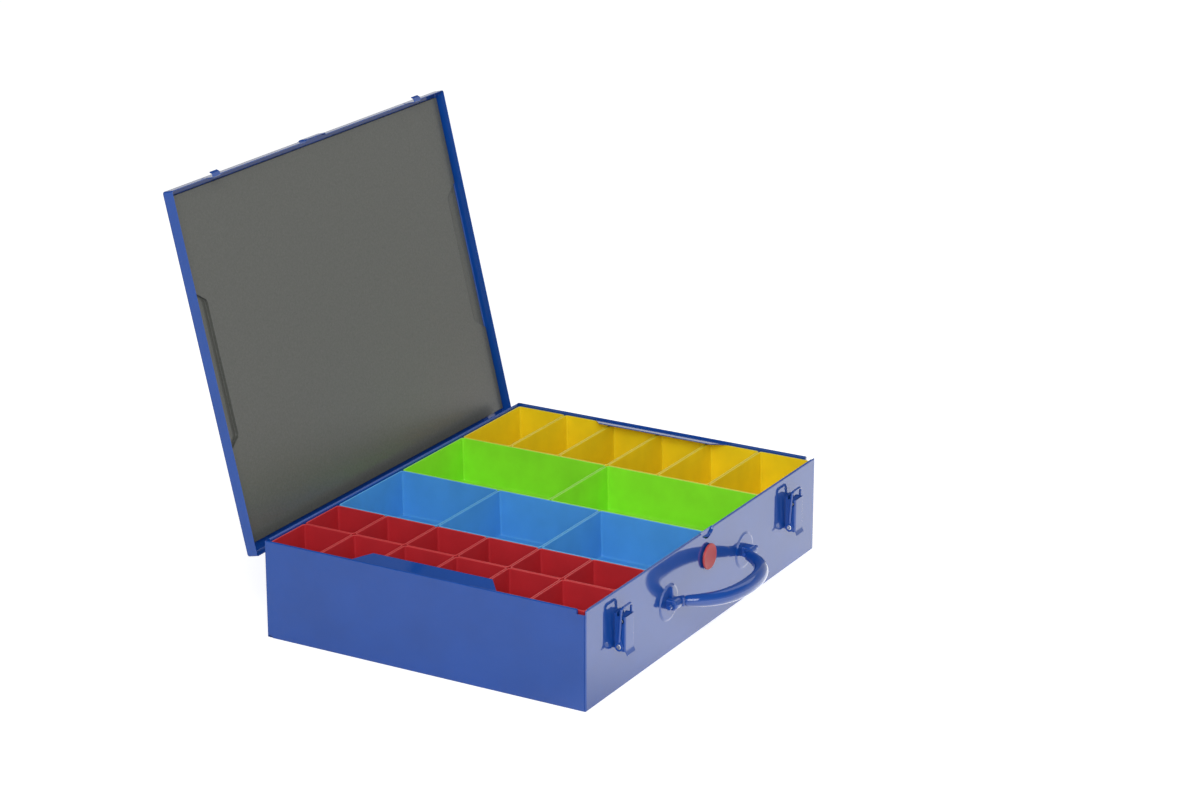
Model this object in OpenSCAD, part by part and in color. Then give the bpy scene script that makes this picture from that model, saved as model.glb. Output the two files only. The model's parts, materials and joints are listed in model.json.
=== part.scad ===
// Sheet steel storage box with loose plastic boxes, a hinged lid, two draw latches and a bow handle.
// The origin is the middle of the tray's underside; the front faces -Y. All lengths are millimetres.

/* [Tray] */
// Outside width of the tray, left to right
case_w = 440; // [400:1:520]
// Outside depth of the tray, front to back
case_d = 330; // [300:1:400]
// Height of the tray's rim
case_h = 93.3; // [90:0.1:120]
// Thickness of the sheet steel
sheet = 0.8; // [0.6:0.05:0.9]
// Outside radius of the folded upright corners
corner_r = 1.8; // [1.2:0.1:4]
// Height of the folded hem along the rims
hem_h = 8; // [7.5:0.1:12]
// Thickness of the folded hem
hem_t = 2.5; // [2.2:0.1:3]
// Distance from each back corner to the end of the hems
hem_stop = 6; // [4:0.5:12]
// Length of the notch in each side wall's rim at the front corners
notch_l = 9; // [4:0.5:12]
// Depth of that notch
notch_h = 4.3; // [2:0.1:6]
// Length of the side tabs' root
tab_root = 152; // [120:1:180]
// Length of the side tabs' free edge
tab_edge = 123; // [90:1:150]
// Reach of the side tabs over the boxes
tab_reach = 18.8; // [12:0.5:22]
// Depth of the side tabs' root below the rim
tab_drop = 2; // [1:0.1:2]
// Height of the side tabs' free edge above the rim
tab_up = 1.7; // [1:0.1:1.7]
// Width of the thumb dish in the front rim
dish_w = 23.2; // [16:0.2:30]
// Depth of the thumb dish below the rim
dish_h = 6; // [5:0.1:7]
// How far the thumb dish is pressed in
dish_in = 1.6; // [1:0.1:1.8]

/* [Boxes] */
// Number of box columns, left to right
cols = 8; // [8:1:8]
// Number of box rows, back to front
rows = 6; // [6:1:6]
// Space between the block of boxes and the side hems
side_space = 1.5; // [0.8:0.1:4]
// Space between the block of boxes and the front and back hems
end_space = 0.5; // [0.5:0.1:4]
// Gap between two neighbouring boxes
box_gap = 0.6; // [0.4:0.1:1.5]
// Height of the boxes' rims below the tray's rim
box_drop = 2.3; // [2.3:0.1:6]
// Height of the boxes
box_h = 45; // [40:0.5:63]
// Wall thickness of the boxes
box_wall = 1.4; // [1:0.1:2]
// Floor thickness of the boxes
box_floor = 1.6; // [1:0.1:3]
// Outside radius of the boxes' upright corners
box_r = 3; // [2.5:0.5:9]
// Clearance between the false floor and the tray's hems
stand_fit = 0.5; // [0.3:0.1:2]

/* [Lid] */
// Angle at which the open lid stands, from closed
lid_open = 103.4; // [95:0.1:110]
// Height of the closed lid's top face above the tray's rim
lid_rise = 3.3; // [3.1:0.1:6]
// Depth of the lid's flanges at the front and sides
lid_skirt = 11.6; // [10:0.1:14]
// Clearance between the lid's flanges and the tray's walls
lid_fit = 0.4; // [0.4:0.05:1]
// Thickness of the foam liner
liner_t = 3.8; // [3.4:0.1:4.1]
// Distance from the liner to the side flanges
liner_side = 3.7; // [3.5:0.1:6]
// Distance from the liner to the front flange
liner_front = 5; // [4:0.5:10]
// Distance from the liner's rear edge to the hinge axis
liner_rear = 8.5; // [8.5:0.5:20]
// Foam left between the liner's recesses and the panel
recess_left = 0.5; // [0.3:0.1:0.6]
// Clearance round the side tabs in the liner's recesses
recess_fit = 1.2; // [0.8:0.1:3]
// Width of the raised bump in the middle of the front flange
bump_w = 30; // [26:1:40]
// How far the bump stands out of the front flange
bump_out = 1.5; // [0.8:0.1:2]

/* [Hinge] */
// Length of the hinge
hinge_l = 400; // [300:1:420]
// Height of the hinge axis above the rim, negative is below
hinge_dz = -13.3; // [-15:0.1:-12]
// Distance of the hinge axis behind the back wall
hinge_out = 2.5; // [2.5:0.1:4]
// Radius of the hinge pin
hinge_pin_r = 1.25; // [1:0.05:1.4]
// Radial running clearance of all pins
pin_fit = 0.05; // [0.03:0.01:0.08]
// Wall of the rolled knuckles
knuckle_wall = 0.85; // [0.7:0.05:1]
// Gap between neighbouring knuckles
knuckle_gap = 0.4; // [0.3:0.1:1]
// Height of the hinge leaf on the back wall
leaf_h = 16; // [10:1:30]

/* [Latches] */
// Distance of each latch's middle from the side of the tray
latch_inset = 56; // [40:1:80]
// Width of the latch lever
lever_w = 15.5; // [13:0.5:20]
// Thickness of the lever's sheet
lever_t = 1; // [0.8:0.1:1.2]
// Height of the lever's lower edge above the ground
lever_z = 40.4; // [40:0.1:46]
// Height of the lever
lever_h = 32; // [31:0.1:33]
// Distance of the lever's front face from the wall
lever_d = 11.4; // [11.4:0.1:12]
// Distance of the lever's pivot from the wall
pivot_d = 7.7; // [7.2:0.1:7.7]
// Distance of the lever's pivot below its upper edge
pivot_drop = 4.3; // [4:0.1:4.5]
// Radius of the lever's pivot pin
pivot_r = 1.25; // [1:0.05:1.4]
// Distance of the loop's pin from the wall
loop_pin_d = 5.7; // [5.6:0.1:6]
// Height of the loop's pin above the lever's lower edge
loop_pin_up = 4.2; // [4:0.1:6]
// Radius of the loop's pin
loop_pin_r = 1.2; // [1:0.05:1.3]
// Distance of the loop's top bar from the wall
bar_d = 8; // [8:0.1:9]
// Height of the loop's top bar above the lever's upper edge
bar_up = 7.8; // [7.5:0.1:10]
// Radius of the loop's wire
wire_r = 1.25; // [1:0.05:1.4]
// Width of the lid's hooks
hook_w = 11; // [8:0.5:12]
// Length of the hooks' floor
hook_floor = 3; // [2.5:0.1:3.1]
// Length of the hooks' lip
hook_lip = 3.6; // [3:0.1:3.8]
// Angle of the hooks' lip
hook_angle = 55; // [50:1:65]

/* [Handle] */
// Distance between the middles of the handle's brackets
handle_w = 146; // [130:1:180]
// Height of the handle's pivots above the ground
handle_z = 49; // [46:0.5:52]
// Distance of the handle's pivots from the wall
handle_d = 6.5; // [6.3:0.1:8]
// Reach of the grip's middle line from the pivots
handle_reach = 36.5; // [32:0.5:41]
// Radius of the handle's pivot rod
rod_r = 2; // [1.6:0.1:2.4]
// Radius of the grip at its ends
grip_end_r = 4.4; // [4.2:0.1:5]
// Radius of the grip in its middle
grip_mid_r = 7.3; // [6:0.1:8.5]
// Radius of the brackets' round bases
disc_r = 17.5; // [12:0.5:20]

/* [Button] */
// Height of the button's middle above the ground
button_z = 68.1; // [66:0.1:72]
// Radius of the button
button_r = 12; // [9:0.5:13]
// Thickness of the button's cap
button_t = 1.9; // [1.5:0.1:2.5]
// How far the button goes in
button_travel = 1.2; // [0.8:0.1:1.3]

/* [Hidden] */
// Overrun of cuts past the faces that they pass through
over = 1;
// Overlap of joined solids
join = 0.2;
// Clearance between pieces that pass each other
clear = 0.3;
case_blue = "#4260a8";
box_red = "#c02030";
box_blue = "#3a84c8";
box_green = "#66d51e";
box_yellow = "#d0ad16";
liner_grey = "#6e706c";
button_red = "#c35a58";
steel_grey = "#c8cacc";
$fn = 48;

front_y = -case_d / 2;
back_y = case_d / 2;
unit_x = (case_w - 2 * (hem_t + side_space)) / cols;
unit_y = (case_d - 2 * (hem_t + end_space)) / rows;
box_top = case_h - box_drop;
box_z = box_top - box_h;

hinge_y = back_y + hinge_out;
hinge_z = case_h + hinge_dz;
knuckle_r = hinge_pin_r + pin_fit + knuckle_wall;
knuckles = 9;
knuckle_l = hinge_l / knuckles;

lid_top = case_h + lid_rise;
lid_under = lid_top - sheet;
skirt_z = lid_top - lid_skirt;
lid_w = case_w + 2 * (lid_fit + sheet);
lid_front = front_y - lid_fit - sheet;
lid_rear = hinge_y + hinge_pin_r + pin_fit + sheet;
lid_l = lid_rear - lid_front;
lid_mid = (lid_rear + lid_front) / 2;

latch_x = case_w / 2 - latch_inset;
lever_top = lever_z + lever_h;
pivot_z = lever_top - pivot_drop;
loop_pin_z = lever_z + loop_pin_up;
bar_z = lever_top + bar_up;
hook_z = bar_z - wire_r - pin_fit;
loop_lean = atan2(bar_d - loop_pin_d, bar_z - loop_pin_z);
loop_l = norm([bar_d - loop_pin_d, bar_z - loop_pin_z]);
// Middle of the loop's legs, outside the lever's sides
leg_x = lever_w / 2 + clear + wire_r;
// Width across the ears of the latch base, inside the lever's sides
base_w = lever_w - 2 * (lever_t + clear + join);
base_t = 0.8;

RED = [for (c = [0:1]) for (r = [0:rows - 1]) [str("red_box_", c * rows + r + 1), c, r, 1, 1, box_red]];
BLUE = [for (k = [0:2]) [str("blue_box_", k + 1), 2, 2 * k, 2, 2, box_blue]];
GREEN = [for (k = [0:1]) [str("green_box_", k + 1), 4, 3 * k, 2, 3, box_green]];
YELLOW = [for (k = [0:rows - 1]) [str("yellow_box_", k + 1), 6, k, 2, 1, box_yellow]];
BOXES = concat(RED, BLUE, GREEN, YELLOW);
SIDES = [["left", -1], ["right", 1]];

// Outline of a rectangle round the origin with rounded corners
function rounded(w, d, r, steps = 4) = [
    for (c = [0:3]) for (i = [0:steps])
        let (a = 90 * c + 90 * i / steps, sx = (c == 0 || c == 3) ? 1 : -1, sy = c < 2 ? 1 : -1)
        [sx * (w / 2 - r) + r * cos(a), sy * (d / 2 - r) + r * sin(a)]
];

// Point of a cubic curve
function cubic(a, b, c, d, t) =
    pow(1 - t, 3) * a + 3 * t * pow(1 - t, 2) * b + 3 * t * t * (1 - t) * c + pow(t, 3) * d;

// Round tube along a path that lies in the plane z = 0
module tube(path, radii, sides) {
    last = len(path) - 1;
    rings = [for (i = [0:last])
        let (t = path[min(i + 1, last)] - path[max(i - 1, 0)], n = [t[1], -t[0]] / norm(t))
        for (k = [0:sides - 1])
            let (a = 360 * k / sides)
            [path[i][0] + radii[i] * cos(a) * n[0], path[i][1] + radii[i] * cos(a) * n[1], radii[i] * sin(a)]];
    walls = [for (i = [0:last - 1]) for (k = [0:sides - 1])
        let (m = (k + 1) % sides)
        [i * sides + k, i * sides + m, (i + 1) * sides + m, (i + 1) * sides + k]];
    start = [[for (k = [sides - 1:-1:0]) k]];
    end = [[for (k = [0:sides - 1]) last * sides + k]];
    polyhedron(points = rings, faces = concat(start, walls, end));
}

// Plate of thickness t across X, its outline given as points of distance from the wall and height
module upright(x, t, points) {
    translate([x, 0, 0]) rotate([90, 0, -90]) linear_extrude(t, center = true) polygon(points);
}

// Rod along X, placed by its distance from the wall and its height
module crossrod(x, l, r, d, z) {
    translate([x, -d, z]) rotate([0, 90, 0]) cylinder(h = l, r = r, center = true);
}

// Moves children from the wall's own frame to the front of the tray
module on_front(x) {
    translate([x, front_y, 0]) children();
}

// Turns children of the closed lid to the open position
module opened() {
    translate([0, hinge_y, hinge_z]) rotate([-lid_open, 0, 0]) translate([0, -hinge_y, -hinge_z]) children();
}

// Pressed and folded sheet steel tray
relief_l = 5;
relief_h = 2.5;
slot_w = 11;
slot_h = 1.2;
slot_drop = 0.9;
dish_r = 5;
stem_r = 4;

module side_tab() {
    rise = asin((tab_drop + tab_up) / tab_reach);
    translate([case_w / 2 - sheet, 0, case_h - tab_drop - sheet]) rotate([0, rise, 0]) linear_extrude(sheet)
        polygon([[0, -tab_root / 2], [0, tab_root / 2], [-tab_reach, tab_edge / 2], [-tab_reach, -tab_edge / 2]]);
}

module side_hem() {
    l = case_d - notch_l - hem_stop;
    translate([case_w / 2 - hem_t, front_y + notch_l, case_h - hem_h])
        cube([hem_t - sheet + join, l, hem_h]);
}

module end_hem() {
    w = case_w - 2 * hem_stop;
    translate([-w / 2, front_y + sheet - join, case_h - hem_h]) cube([w, hem_t - sheet + join, hem_h]);
}

module corner_cuts() {
    translate([case_w / 2 - hem_t - over, front_y + sheet, case_h - notch_h])
        cube([hem_t + 2 * over, notch_l - sheet, notch_h + over]);
    translate([case_w / 2 - sheet - over, back_y - sheet - relief_l, -over])
        cube([sheet + 2 * over, relief_l, relief_h + over]);
}

module tray() {
    color(case_blue) difference() {
        union() {
            difference() {
                linear_extrude(case_h) polygon(rounded(case_w, case_d, corner_r));
                translate([0, 0, sheet]) linear_extrude(case_h)
                    polygon(rounded(case_w - 2 * sheet, case_d - 2 * sheet, corner_r - sheet));
            }
            end_hem();
            mirror([0, 1, 0]) end_hem();
            for (m = [0, 1]) mirror([m, 0, 0]) {
                side_hem();
                side_tab();
            }
        }
        for (m = [0, 1]) mirror([m, 0, 0]) corner_cuts();
        translate([0, front_y + dish_in, case_h - dish_h + dish_r]) rotate([90, 0, 0]) linear_extrude(dish_in + over)
            polygon(rounded(dish_w, 2 * dish_r, dish_r - join));
        translate([-dish_w / 2, front_y - over, case_h - dish_h + dish_r])
            cube([dish_w, dish_in + over, dish_r]);
        translate([-slot_w / 2, front_y - over, case_h - dish_h - slot_drop - slot_h])
            cube([slot_w, hem_t + 2 * over, slot_h]);
        translate([0, front_y - over, button_z]) rotate([-90, 0, 0])
            cylinder(h = sheet + 2 * over, r = stem_r + clear);
        for (s = SIDES) for (z = rivet_zs)
            translate([s[1] * latch_x, front_y - over, z]) rotate([-90, 0, 0])
                cylinder(h = sheet + 2 * over, r = rivet_r);
    }
}

// Folded false floor under the boxes, on its own flanges and two ribs
rib_spans = 3;

module false_floor() {
    w = case_w - 2 * (hem_t + stand_fit);
    d = case_d - 2 * (hem_t + stand_fit);
    h = box_z - clear - sheet;
    color(case_blue) translate([0, 0, sheet]) {
        difference() {
            linear_extrude(h) polygon(rounded(w, d, corner_r));
            translate([0, 0, -over]) linear_extrude(h - sheet + over)
                polygon(rounded(w - 2 * sheet, d - 2 * sheet, corner_r - sheet));
        }
        for (side = [-1, 1]) translate([side * w / (2 * rib_spans) - sheet / 2, -d / 2 + sheet - join, 0])
            cube([sheet, d - 2 * sheet + 2 * join, h - sheet + join]);
    }
}

// Loose plastic boxes
module storage_box(b) {
    w = b[3] * unit_x - box_gap;
    d = b[4] * unit_y - box_gap;
    x = (b[1] + b[3] / 2 - cols / 2) * unit_x;
    y = (rows / 2 - b[2] - b[4] / 2) * unit_y;
    color(b[5]) translate([x, y, box_z]) difference() {
        linear_extrude(box_h) polygon(rounded(w, d, box_r));
        translate([0, 0, box_floor]) linear_extrude(box_h)
            polygon(rounded(w - 2 * box_wall, d - 2 * box_wall, box_r - box_wall));
    }
}

// Hinge along the back wall
function knuckle_x(i) = -hinge_l / 2 + i * knuckle_l + knuckle_gap / 2;

module knuckle(i) {
    translate([knuckle_x(i), hinge_y, hinge_z]) rotate([0, 90, 0])
        cylinder(h = knuckle_l - knuckle_gap, r = knuckle_r);
}

module pin_bore(r) {
    translate([-hinge_l / 2 - over, hinge_y, hinge_z]) rotate([0, 90, 0]) cylinder(h = hinge_l + 2 * over, r = r);
}

knuckle_room = 0.5;

module hinge_leaf() {
    foot = hinge_z - knuckle_r - knuckle_room;
    color(case_blue) difference() {
        union() {
            translate([-hinge_l / 2, back_y, foot - leaf_h]) cube([hinge_l, sheet, leaf_h]);
            for (i = [0:2:knuckles - 1]) {
                knuckle(i);
                translate([knuckle_x(i), back_y, foot - join])
                    cube([knuckle_l - knuckle_gap, sheet, hinge_z - foot + join]);
            }
        }
        pin_bore(hinge_pin_r);
    }
}

module hinge_pin() {
    color(steel_grey) translate([-hinge_l / 2, hinge_y, hinge_z]) rotate([0, 90, 0])
        cylinder(h = hinge_l, r = hinge_pin_r);
}

// Lid, drawn closed and then turned open
hook_bend = sheet * tan(hook_angle / 2);
lance_w = 4;
lance_h = 2.5;
bump_side = 2;

function hook_points() =
    let (d0 = lid_fit, d1 = lid_fit + sheet, b = d1 + hook_floor, c = cos(hook_angle), s = sin(hook_angle))
    [[d0, skirt_z + join], [d0, hook_z - sheet], [b, hook_z - sheet],
     [b + hook_lip * c, hook_z - sheet + hook_lip * s],
     [b + hook_lip * c - sheet * s, hook_z - sheet + hook_lip * s + sheet * c],
     [b - hook_bend, hook_z], [d1, hook_z], [d1, skirt_z + join]];

module bump(grow) {
    w = bump_w / 2;
    translate([0, lid_front + grow, skirt_z]) linear_extrude(lid_skirt - 2 * sheet)
        polygon([[-w - bump_side, sheet], [-w - bump_side, 0], [-w, -bump_out], [w, -bump_out],
                 [w + bump_side, 0], [w + bump_side, sheet]]);
}

module lid_form() {
    difference() {
        union() {
            difference() {
                translate([0, lid_mid, skirt_z]) linear_extrude(lid_skirt)
                    polygon(rounded(lid_w, lid_l, corner_r + lid_fit));
                translate([0, lid_mid, skirt_z - over]) linear_extrude(lid_under - skirt_z + over)
                    polygon(rounded(lid_w - 2 * sheet, lid_l - 2 * sheet, corner_r + lid_fit - sheet));
            }
            bump(0);
            translate([-hinge_l / 2, lid_rear - sheet, hinge_z + knuckle_r + knuckle_room])
                cube([hinge_l, sheet, skirt_z - hinge_z - knuckle_r]);
            for (i = [1:2:knuckles - 1]) {
                knuckle(i);
                translate([knuckle_x(i), lid_rear - sheet, hinge_z])
                    cube([knuckle_l - knuckle_gap, sheet, skirt_z - hinge_z + join]);
            }
            for (s = SIDES) on_front(s[1] * latch_x) upright(0, hook_w, hook_points());
        }
        translate([0, 0, -over]) bump(sheet);
        translate([0, 0, -join]) bump(sheet);
        pin_bore(hinge_pin_r + pin_fit);
        for (s = SIDES) translate([s[1] * latch_x - hook_w / 2 - lance_w, lid_front - over, skirt_z + lance_h])
            cube([lance_w, sheet + 2 * over, lance_h]);
    }
}

module lid_shell() {
    color(case_blue) opened() lid_form();
}

module liner_recess() {
    x1 = case_w / 2 + recess_fit;
    x0 = case_w / 2 - sheet - tab_reach - recess_fit;
    r = tab_root / 2 + recess_fit;
    e = tab_edge / 2 + recess_fit;
    translate([0, 0, lid_under - liner_t - over]) linear_extrude(liner_t - recess_left + over)
        polygon([[x0, -e], [x1, -r], [x1, r], [x0, e]]);
}

module lid_liner() {
    w = lid_w - 2 * (sheet + liner_side);
    y0 = lid_front + sheet + liner_front;
    y1 = hinge_y - liner_rear;
    color(liner_grey) opened() difference() {
        translate([-w / 2, y0, lid_under - liner_t]) cube([w, y1 - y0, liner_t]);
        for (m = [0, 1]) mirror([m, 0, 0]) liner_recess();
    }
}

// Draw latches
ear_d = 3.9;
ear_low = 1.4;
ear_knee = 8;
ear_step_d = 2.2;
ear_step_up = 2.3;
ear_peak = 6;
lug_r = 2.4;
lug_share = 0.68;
tongue_half = base_w / 2 - base_t - clear;
tongue_back = 4;
tongue_sag = 1.4;
side_back = 1.8;
side_high_d = 2.8;
side_step = 18;
side_slope = 2;
lip_out = 2.5;
lip_down = 3.2;
rivet_r = 1.2;
rivet_head_r = 2.2;
rivet_head_t = 0.8;
rivet_low = 12;
rivet_pitch = 8;
rivet_zs = [lever_z + rivet_low, lever_z + rivet_low + rivet_pitch];
eye_r = 4.2;
eye_t = 1.2;
eye_taper = 10;
head_r = 2.25;
head_t = 0.6;
loop_bend = 3.6;

module latch_base(side) {
    k = lug_share * lug_r;
    points = [[base_t - join, lever_z + ear_low], [ear_d, lever_z + ear_low], [ear_d, pivot_z - ear_knee],
              [pivot_d + k, pivot_z - k], [pivot_d, pivot_z + ear_step_up], [ear_step_d, pivot_z + ear_step_up],
              [ear_step_d, pivot_z + ear_peak], [base_t - join, pivot_z + ear_peak]];
    color(case_blue) on_front(side * latch_x) difference() {
        union() {
            translate([-base_w / 2, -base_t, lever_z + ear_low])
                cube([base_w, base_t, pivot_z + ear_peak - lever_z - ear_low]);
            for (m = [-1, 1]) {
                upright(m * (base_w - base_t) / 2, base_t, points);
                crossrod(m * (base_w - base_t) / 2, base_t, lug_r, pivot_d, pivot_z);
            }
        }
        crossrod(0, base_w + 2 * over, pivot_r, pivot_d, pivot_z);
        for (z = rivet_zs) translate([0, over, z]) rotate([90, 0, 0]) cylinder(h = base_t + 2 * over, r = rivet_r);
    }
}

module latch_lever(side) {
    points = [[lever_d, lever_z], [side_back, lever_z], [side_back, lever_z + side_step],
              [side_high_d, lever_z + side_step + side_slope], [side_high_d, lever_top], [lever_d, lever_top]];
    lip = [[lever_d - lever_t, lever_z + lever_t], [lever_d, lever_z + lever_t], [lever_d, lever_z],
           [lever_d + lip_out, lever_z - lip_down + lever_t], [lever_d + lip_out - lever_t / 2, lever_z - lip_down],
           [lever_d - lever_t, lever_z - lever_t / 2]];
    tongue = [for (i = [-2:2]) [i * tongue_half / 2, -(pivot_d - tongue_back + tongue_sag * i * i / 4)]];
    color(case_blue) on_front(side * latch_x) difference() {
        union() {
            translate([-lever_w / 2, -lever_d, lever_z]) cube([lever_w, lever_t, lever_h]);
            for (m = [-1, 1]) {
                upright(m * (lever_w - lever_t) / 2, lever_t, points);
                crossrod(m * (lever_w - lever_t) / 2, lever_t, lug_r, pivot_d, pivot_z);
            }
            upright(0, lever_w, lip);
            translate([0, 0, lever_top - base_t]) linear_extrude(base_t)
                polygon(concat(tongue, [[tongue_half, -lever_d + join], [-tongue_half, -lever_d + join]]));
        }
        crossrod(0, lever_w + 2 * over, pivot_r + pin_fit, pivot_d, pivot_z);
        crossrod(0, lever_w + 2 * over, loop_pin_r, loop_pin_d, loop_pin_z);
    }
}

function loop_path() =
    let (b = loop_bend, l = loop_l, x = leg_x)
    concat([[-x, eye_taper - eye_r]], [for (i = [0:4]) [-x + b - b * cos(90 * i / 4), l - b + b * sin(90 * i / 4)]],
           [for (i = [0:4]) [x - b + b * sin(90 * i / 4), l - b + b * cos(90 * i / 4)]], [[x, eye_taper - eye_r]]);

function eye_points() = concat([for (i = [0:12]) let (a = 160 + 220 * i / 12) [eye_r * cos(a), eye_r * sin(a)]],
                               [[wire_r, eye_taper], [-wire_r, eye_taper]]);

module latch_loop(side) {
    path = loop_path();
    color(case_blue) on_front(side * latch_x) translate([0, -loop_pin_d, loop_pin_z]) rotate([loop_lean, 0, 0])
        difference() {
            union() {
                rotate([90, 0, 0]) tube(path, [for (p = path) wire_r], 12);
                for (m = [-1, 1]) translate([m * (leg_x - wire_r + eye_t / 2), 0, 0]) rotate([90, 0, 90])
                    linear_extrude(eye_t, center = true) polygon(eye_points());
            }
            rotate([0, 90, 0]) cylinder(h = 2 * (leg_x + wire_r + over), r = loop_pin_r + pin_fit, center = true);
        }
}

module lever_pin(side) {
    color(steel_grey) on_front(side * latch_x) crossrod(0, lever_w + join, pivot_r, pivot_d, pivot_z);
}

module loop_pin(side) {
    x = leg_x - wire_r + eye_t + join / 2;
    color(steel_grey) on_front(side * latch_x) {
        crossrod(0, 2 * (x + head_t), loop_pin_r, loop_pin_d, loop_pin_z);
        for (m = [-1, 1]) crossrod(m * (x + head_t / 2), head_t, head_r, loop_pin_d, loop_pin_z);
    }
}

module latch_rivets() {
    color(steel_grey) for (s = SIDES) on_front(s[1] * latch_x) for (z = rivet_zs) translate([0, 0, z]) {
        translate([0, -base_t - rivet_head_t, 0]) rotate([-90, 0, 0]) cylinder(h = rivet_head_t, r = rivet_head_r);
        translate([0, -base_t - join, 0]) rotate([-90, 0, 0]) cylinder(h = base_t + sheet + 2 * join, r = rivet_r);
        translate([0, sheet, 0]) rotate([-90, 0, 0]) cylinder(h = rivet_head_t, r = rivet_head_r);
    }
}

// Bow handle: a bent core with a moulded grip, in two brackets
disc_t = 0.9;
boss_r = 5;
boss_l = 12;
ear_t = 2;
ear_h = 15;
ear_reach = 3.4;
neck_l = 10.5;
neck_out = 4;
neck_t = 6;
neck_half_h = 4.2;
core_r = 2.6;
rod_end = 0.8;
elbow_in = 1.6;
rise_angle = 60;
near_pull = 24;
far_pull = 33;
swell_share = 0.45;

// Middle line of the grip from its right end to its left end, as distances across and out from the pivots
function grip_half() =
    let (x = handle_w / 2 - neck_l)
    [for (i = [0:11]) let (t = i / 12) cubic([x, neck_out],
        [x - near_pull * cos(rise_angle), neck_out + near_pull * sin(rise_angle)],
        [far_pull, handle_reach], [0, handle_reach], t)];

function grip_path() =
    let (h = grip_half(), n = len(h))
    concat(h, [[0, handle_reach]], [for (i = [n - 1:-1:0]) [-h[i][0], h[i][1]]]);

// The same line with both ends moved on past the grip's end faces
function long_path(p) =
    let (n = len(p) - 1)
    [for (i = [0:n]) i == 0 ? p[0] + (p[0] - p[1]) / 4 : i == n ? p[n] + (p[n] - p[n - 1]) / 4 : p[i]];

function swell(x) =
    grip_end_r + (grip_mid_r - grip_end_r) * pow(cos(90 * abs(x) / (handle_w / 2 - neck_l)), swell_share);

// Moves children from the handle's own plane, where Y points away from the wall, to their place
module handle_place() {
    on_front(0) translate([0, -handle_d, handle_z]) rotate([180, 0, 0]) children();
}

// Outline of a bracket's boss round the pivot, as distances from the wall and up from the pivot
function boss_points() =
    concat([[0, -boss_r]],
           [for (i = [0:12]) let (a = 180 * i / 12 - 90) [handle_d + boss_r * cos(a), boss_r * sin(a)]],
           [[0, boss_r]]);

// Only the left bracket has an ear that stands up from its boss
module handle_bracket(side) {
    color(case_blue) on_front(side * handle_w / 2) translate([0, 0, handle_z]) difference() {
        union() {
            rotate([90, 0, 0]) cylinder(h = disc_t, r = disc_r);
            upright(0, boss_l, boss_points());
            if (side < 0)
                upright(ear_t / 2, ear_t, [[0, 0], [0, ear_h], [ear_reach, ear_h], [handle_d, 0]]);
        }
        crossrod(0, boss_l + 2 * over, rod_r + pin_fit, handle_d, 0);
    }
}

module handle_core() {
    path = long_path(grip_path());
    start = (handle_w - boss_l) / 2 - clear;
    stop = (handle_w + boss_l) / 2 + rod_end;
    // Middle of the neck plates' ends, just short of the grip's end faces
    neck_end = [handle_w / 2 - neck_l + join * cos(rise_angle), neck_out - join * sin(rise_angle)];
    across = [sin(rise_angle), cos(rise_angle)] * neck_t / 2;
    color(case_blue) handle_place() {
        tube(path, [for (p = path) core_r], 10);
        for (m = [0, 1]) mirror([m, 0, 0]) {
            translate([(start + stop - elbow_in) / 2, 0, 0]) rotate([0, 90, 0])
                cylinder(h = stop - start + elbow_in, r = rod_r, center = true);
            translate([0, 0, -neck_half_h]) linear_extrude(2 * neck_half_h)
                polygon([[start, -neck_t / 2], [start, neck_t / 2], neck_end + across, neck_end - across]);
        }
    }
}

module handle_grip() {
    path = grip_path();
    color(case_blue) handle_place() difference() {
        tube(path, [for (p = path) swell(p[0])], 16);
        tube(long_path(path), [for (p = path) core_r + clear], 10);
    }
}

// Push button in the front wall
button_gap = button_travel + clear;
button_edge = 0.6;
clip_t = 0.4;
clip_r = 6;
washer_t = 0.25;
washer_r = 9;

module push_button() {
    color(button_red) on_front(0) translate([0, 0, button_z]) rotate([90, 0, 0]) {
        translate([0, 0, button_gap]) rotate_extrude()
            polygon([[0, 0], [button_r, 0], [button_r, button_t - button_edge],
                     [button_r - button_edge, button_t], [0, button_t]]);
        translate([0, 0, -sheet - clip_t]) cylinder(h = sheet + clip_t + button_gap + join, r = stem_r);
    }
}

module button_washer() {
    color(steel_grey) on_front(0) translate([0, 0, button_z]) rotate([90, 0, 0]) difference() {
        cylinder(h = washer_t, r = washer_r);
        translate([0, 0, -over]) cylinder(h = washer_t + 2 * over, r = stem_r + clear);
    }
}

module button_clip() {
    color(steel_grey) on_front(0) translate([0, 0, button_z]) rotate([90, 0, 0]) difference() {
        translate([0, 0, -sheet - clip_t]) cylinder(h = clip_t, r = clip_r);
        translate([0, 0, -sheet - clip_t - over]) cylinder(h = clip_t + 2 * over, r = stem_r);
    }
}

tray();
false_floor();
hinge_leaf();
hinge_pin();
lid_shell();
lid_liner();
latch_base(-1);  // latch_base_left
latch_base(1);  // latch_base_right
latch_lever(-1);  // latch_lever_left
latch_lever(1);  // latch_lever_right
latch_loop(-1);  // latch_loop_left
latch_loop(1);  // latch_loop_right
lever_pin(-1);  // lever_pin_left
lever_pin(1);  // lever_pin_right
loop_pin(-1);  // loop_pin_left
loop_pin(1);  // loop_pin_right
latch_rivets();
handle_bracket(-1);  // handle_bracket_left
handle_bracket(1);  // handle_bracket_right
handle_core();
handle_grip();
push_button();
button_washer();
button_clip();
for (b = BOXES) storage_box(b);
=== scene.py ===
"""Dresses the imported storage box: lacquered sheet steel, moulded boxes, a foam liner and plated pins.

Sizes are in metres, written as millimetres times MM. X runs along the front, Y from front to back, Z up.
"""
import json
import math

import bmesh
import bpy
from mathutils import Matrix, Vector


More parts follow.
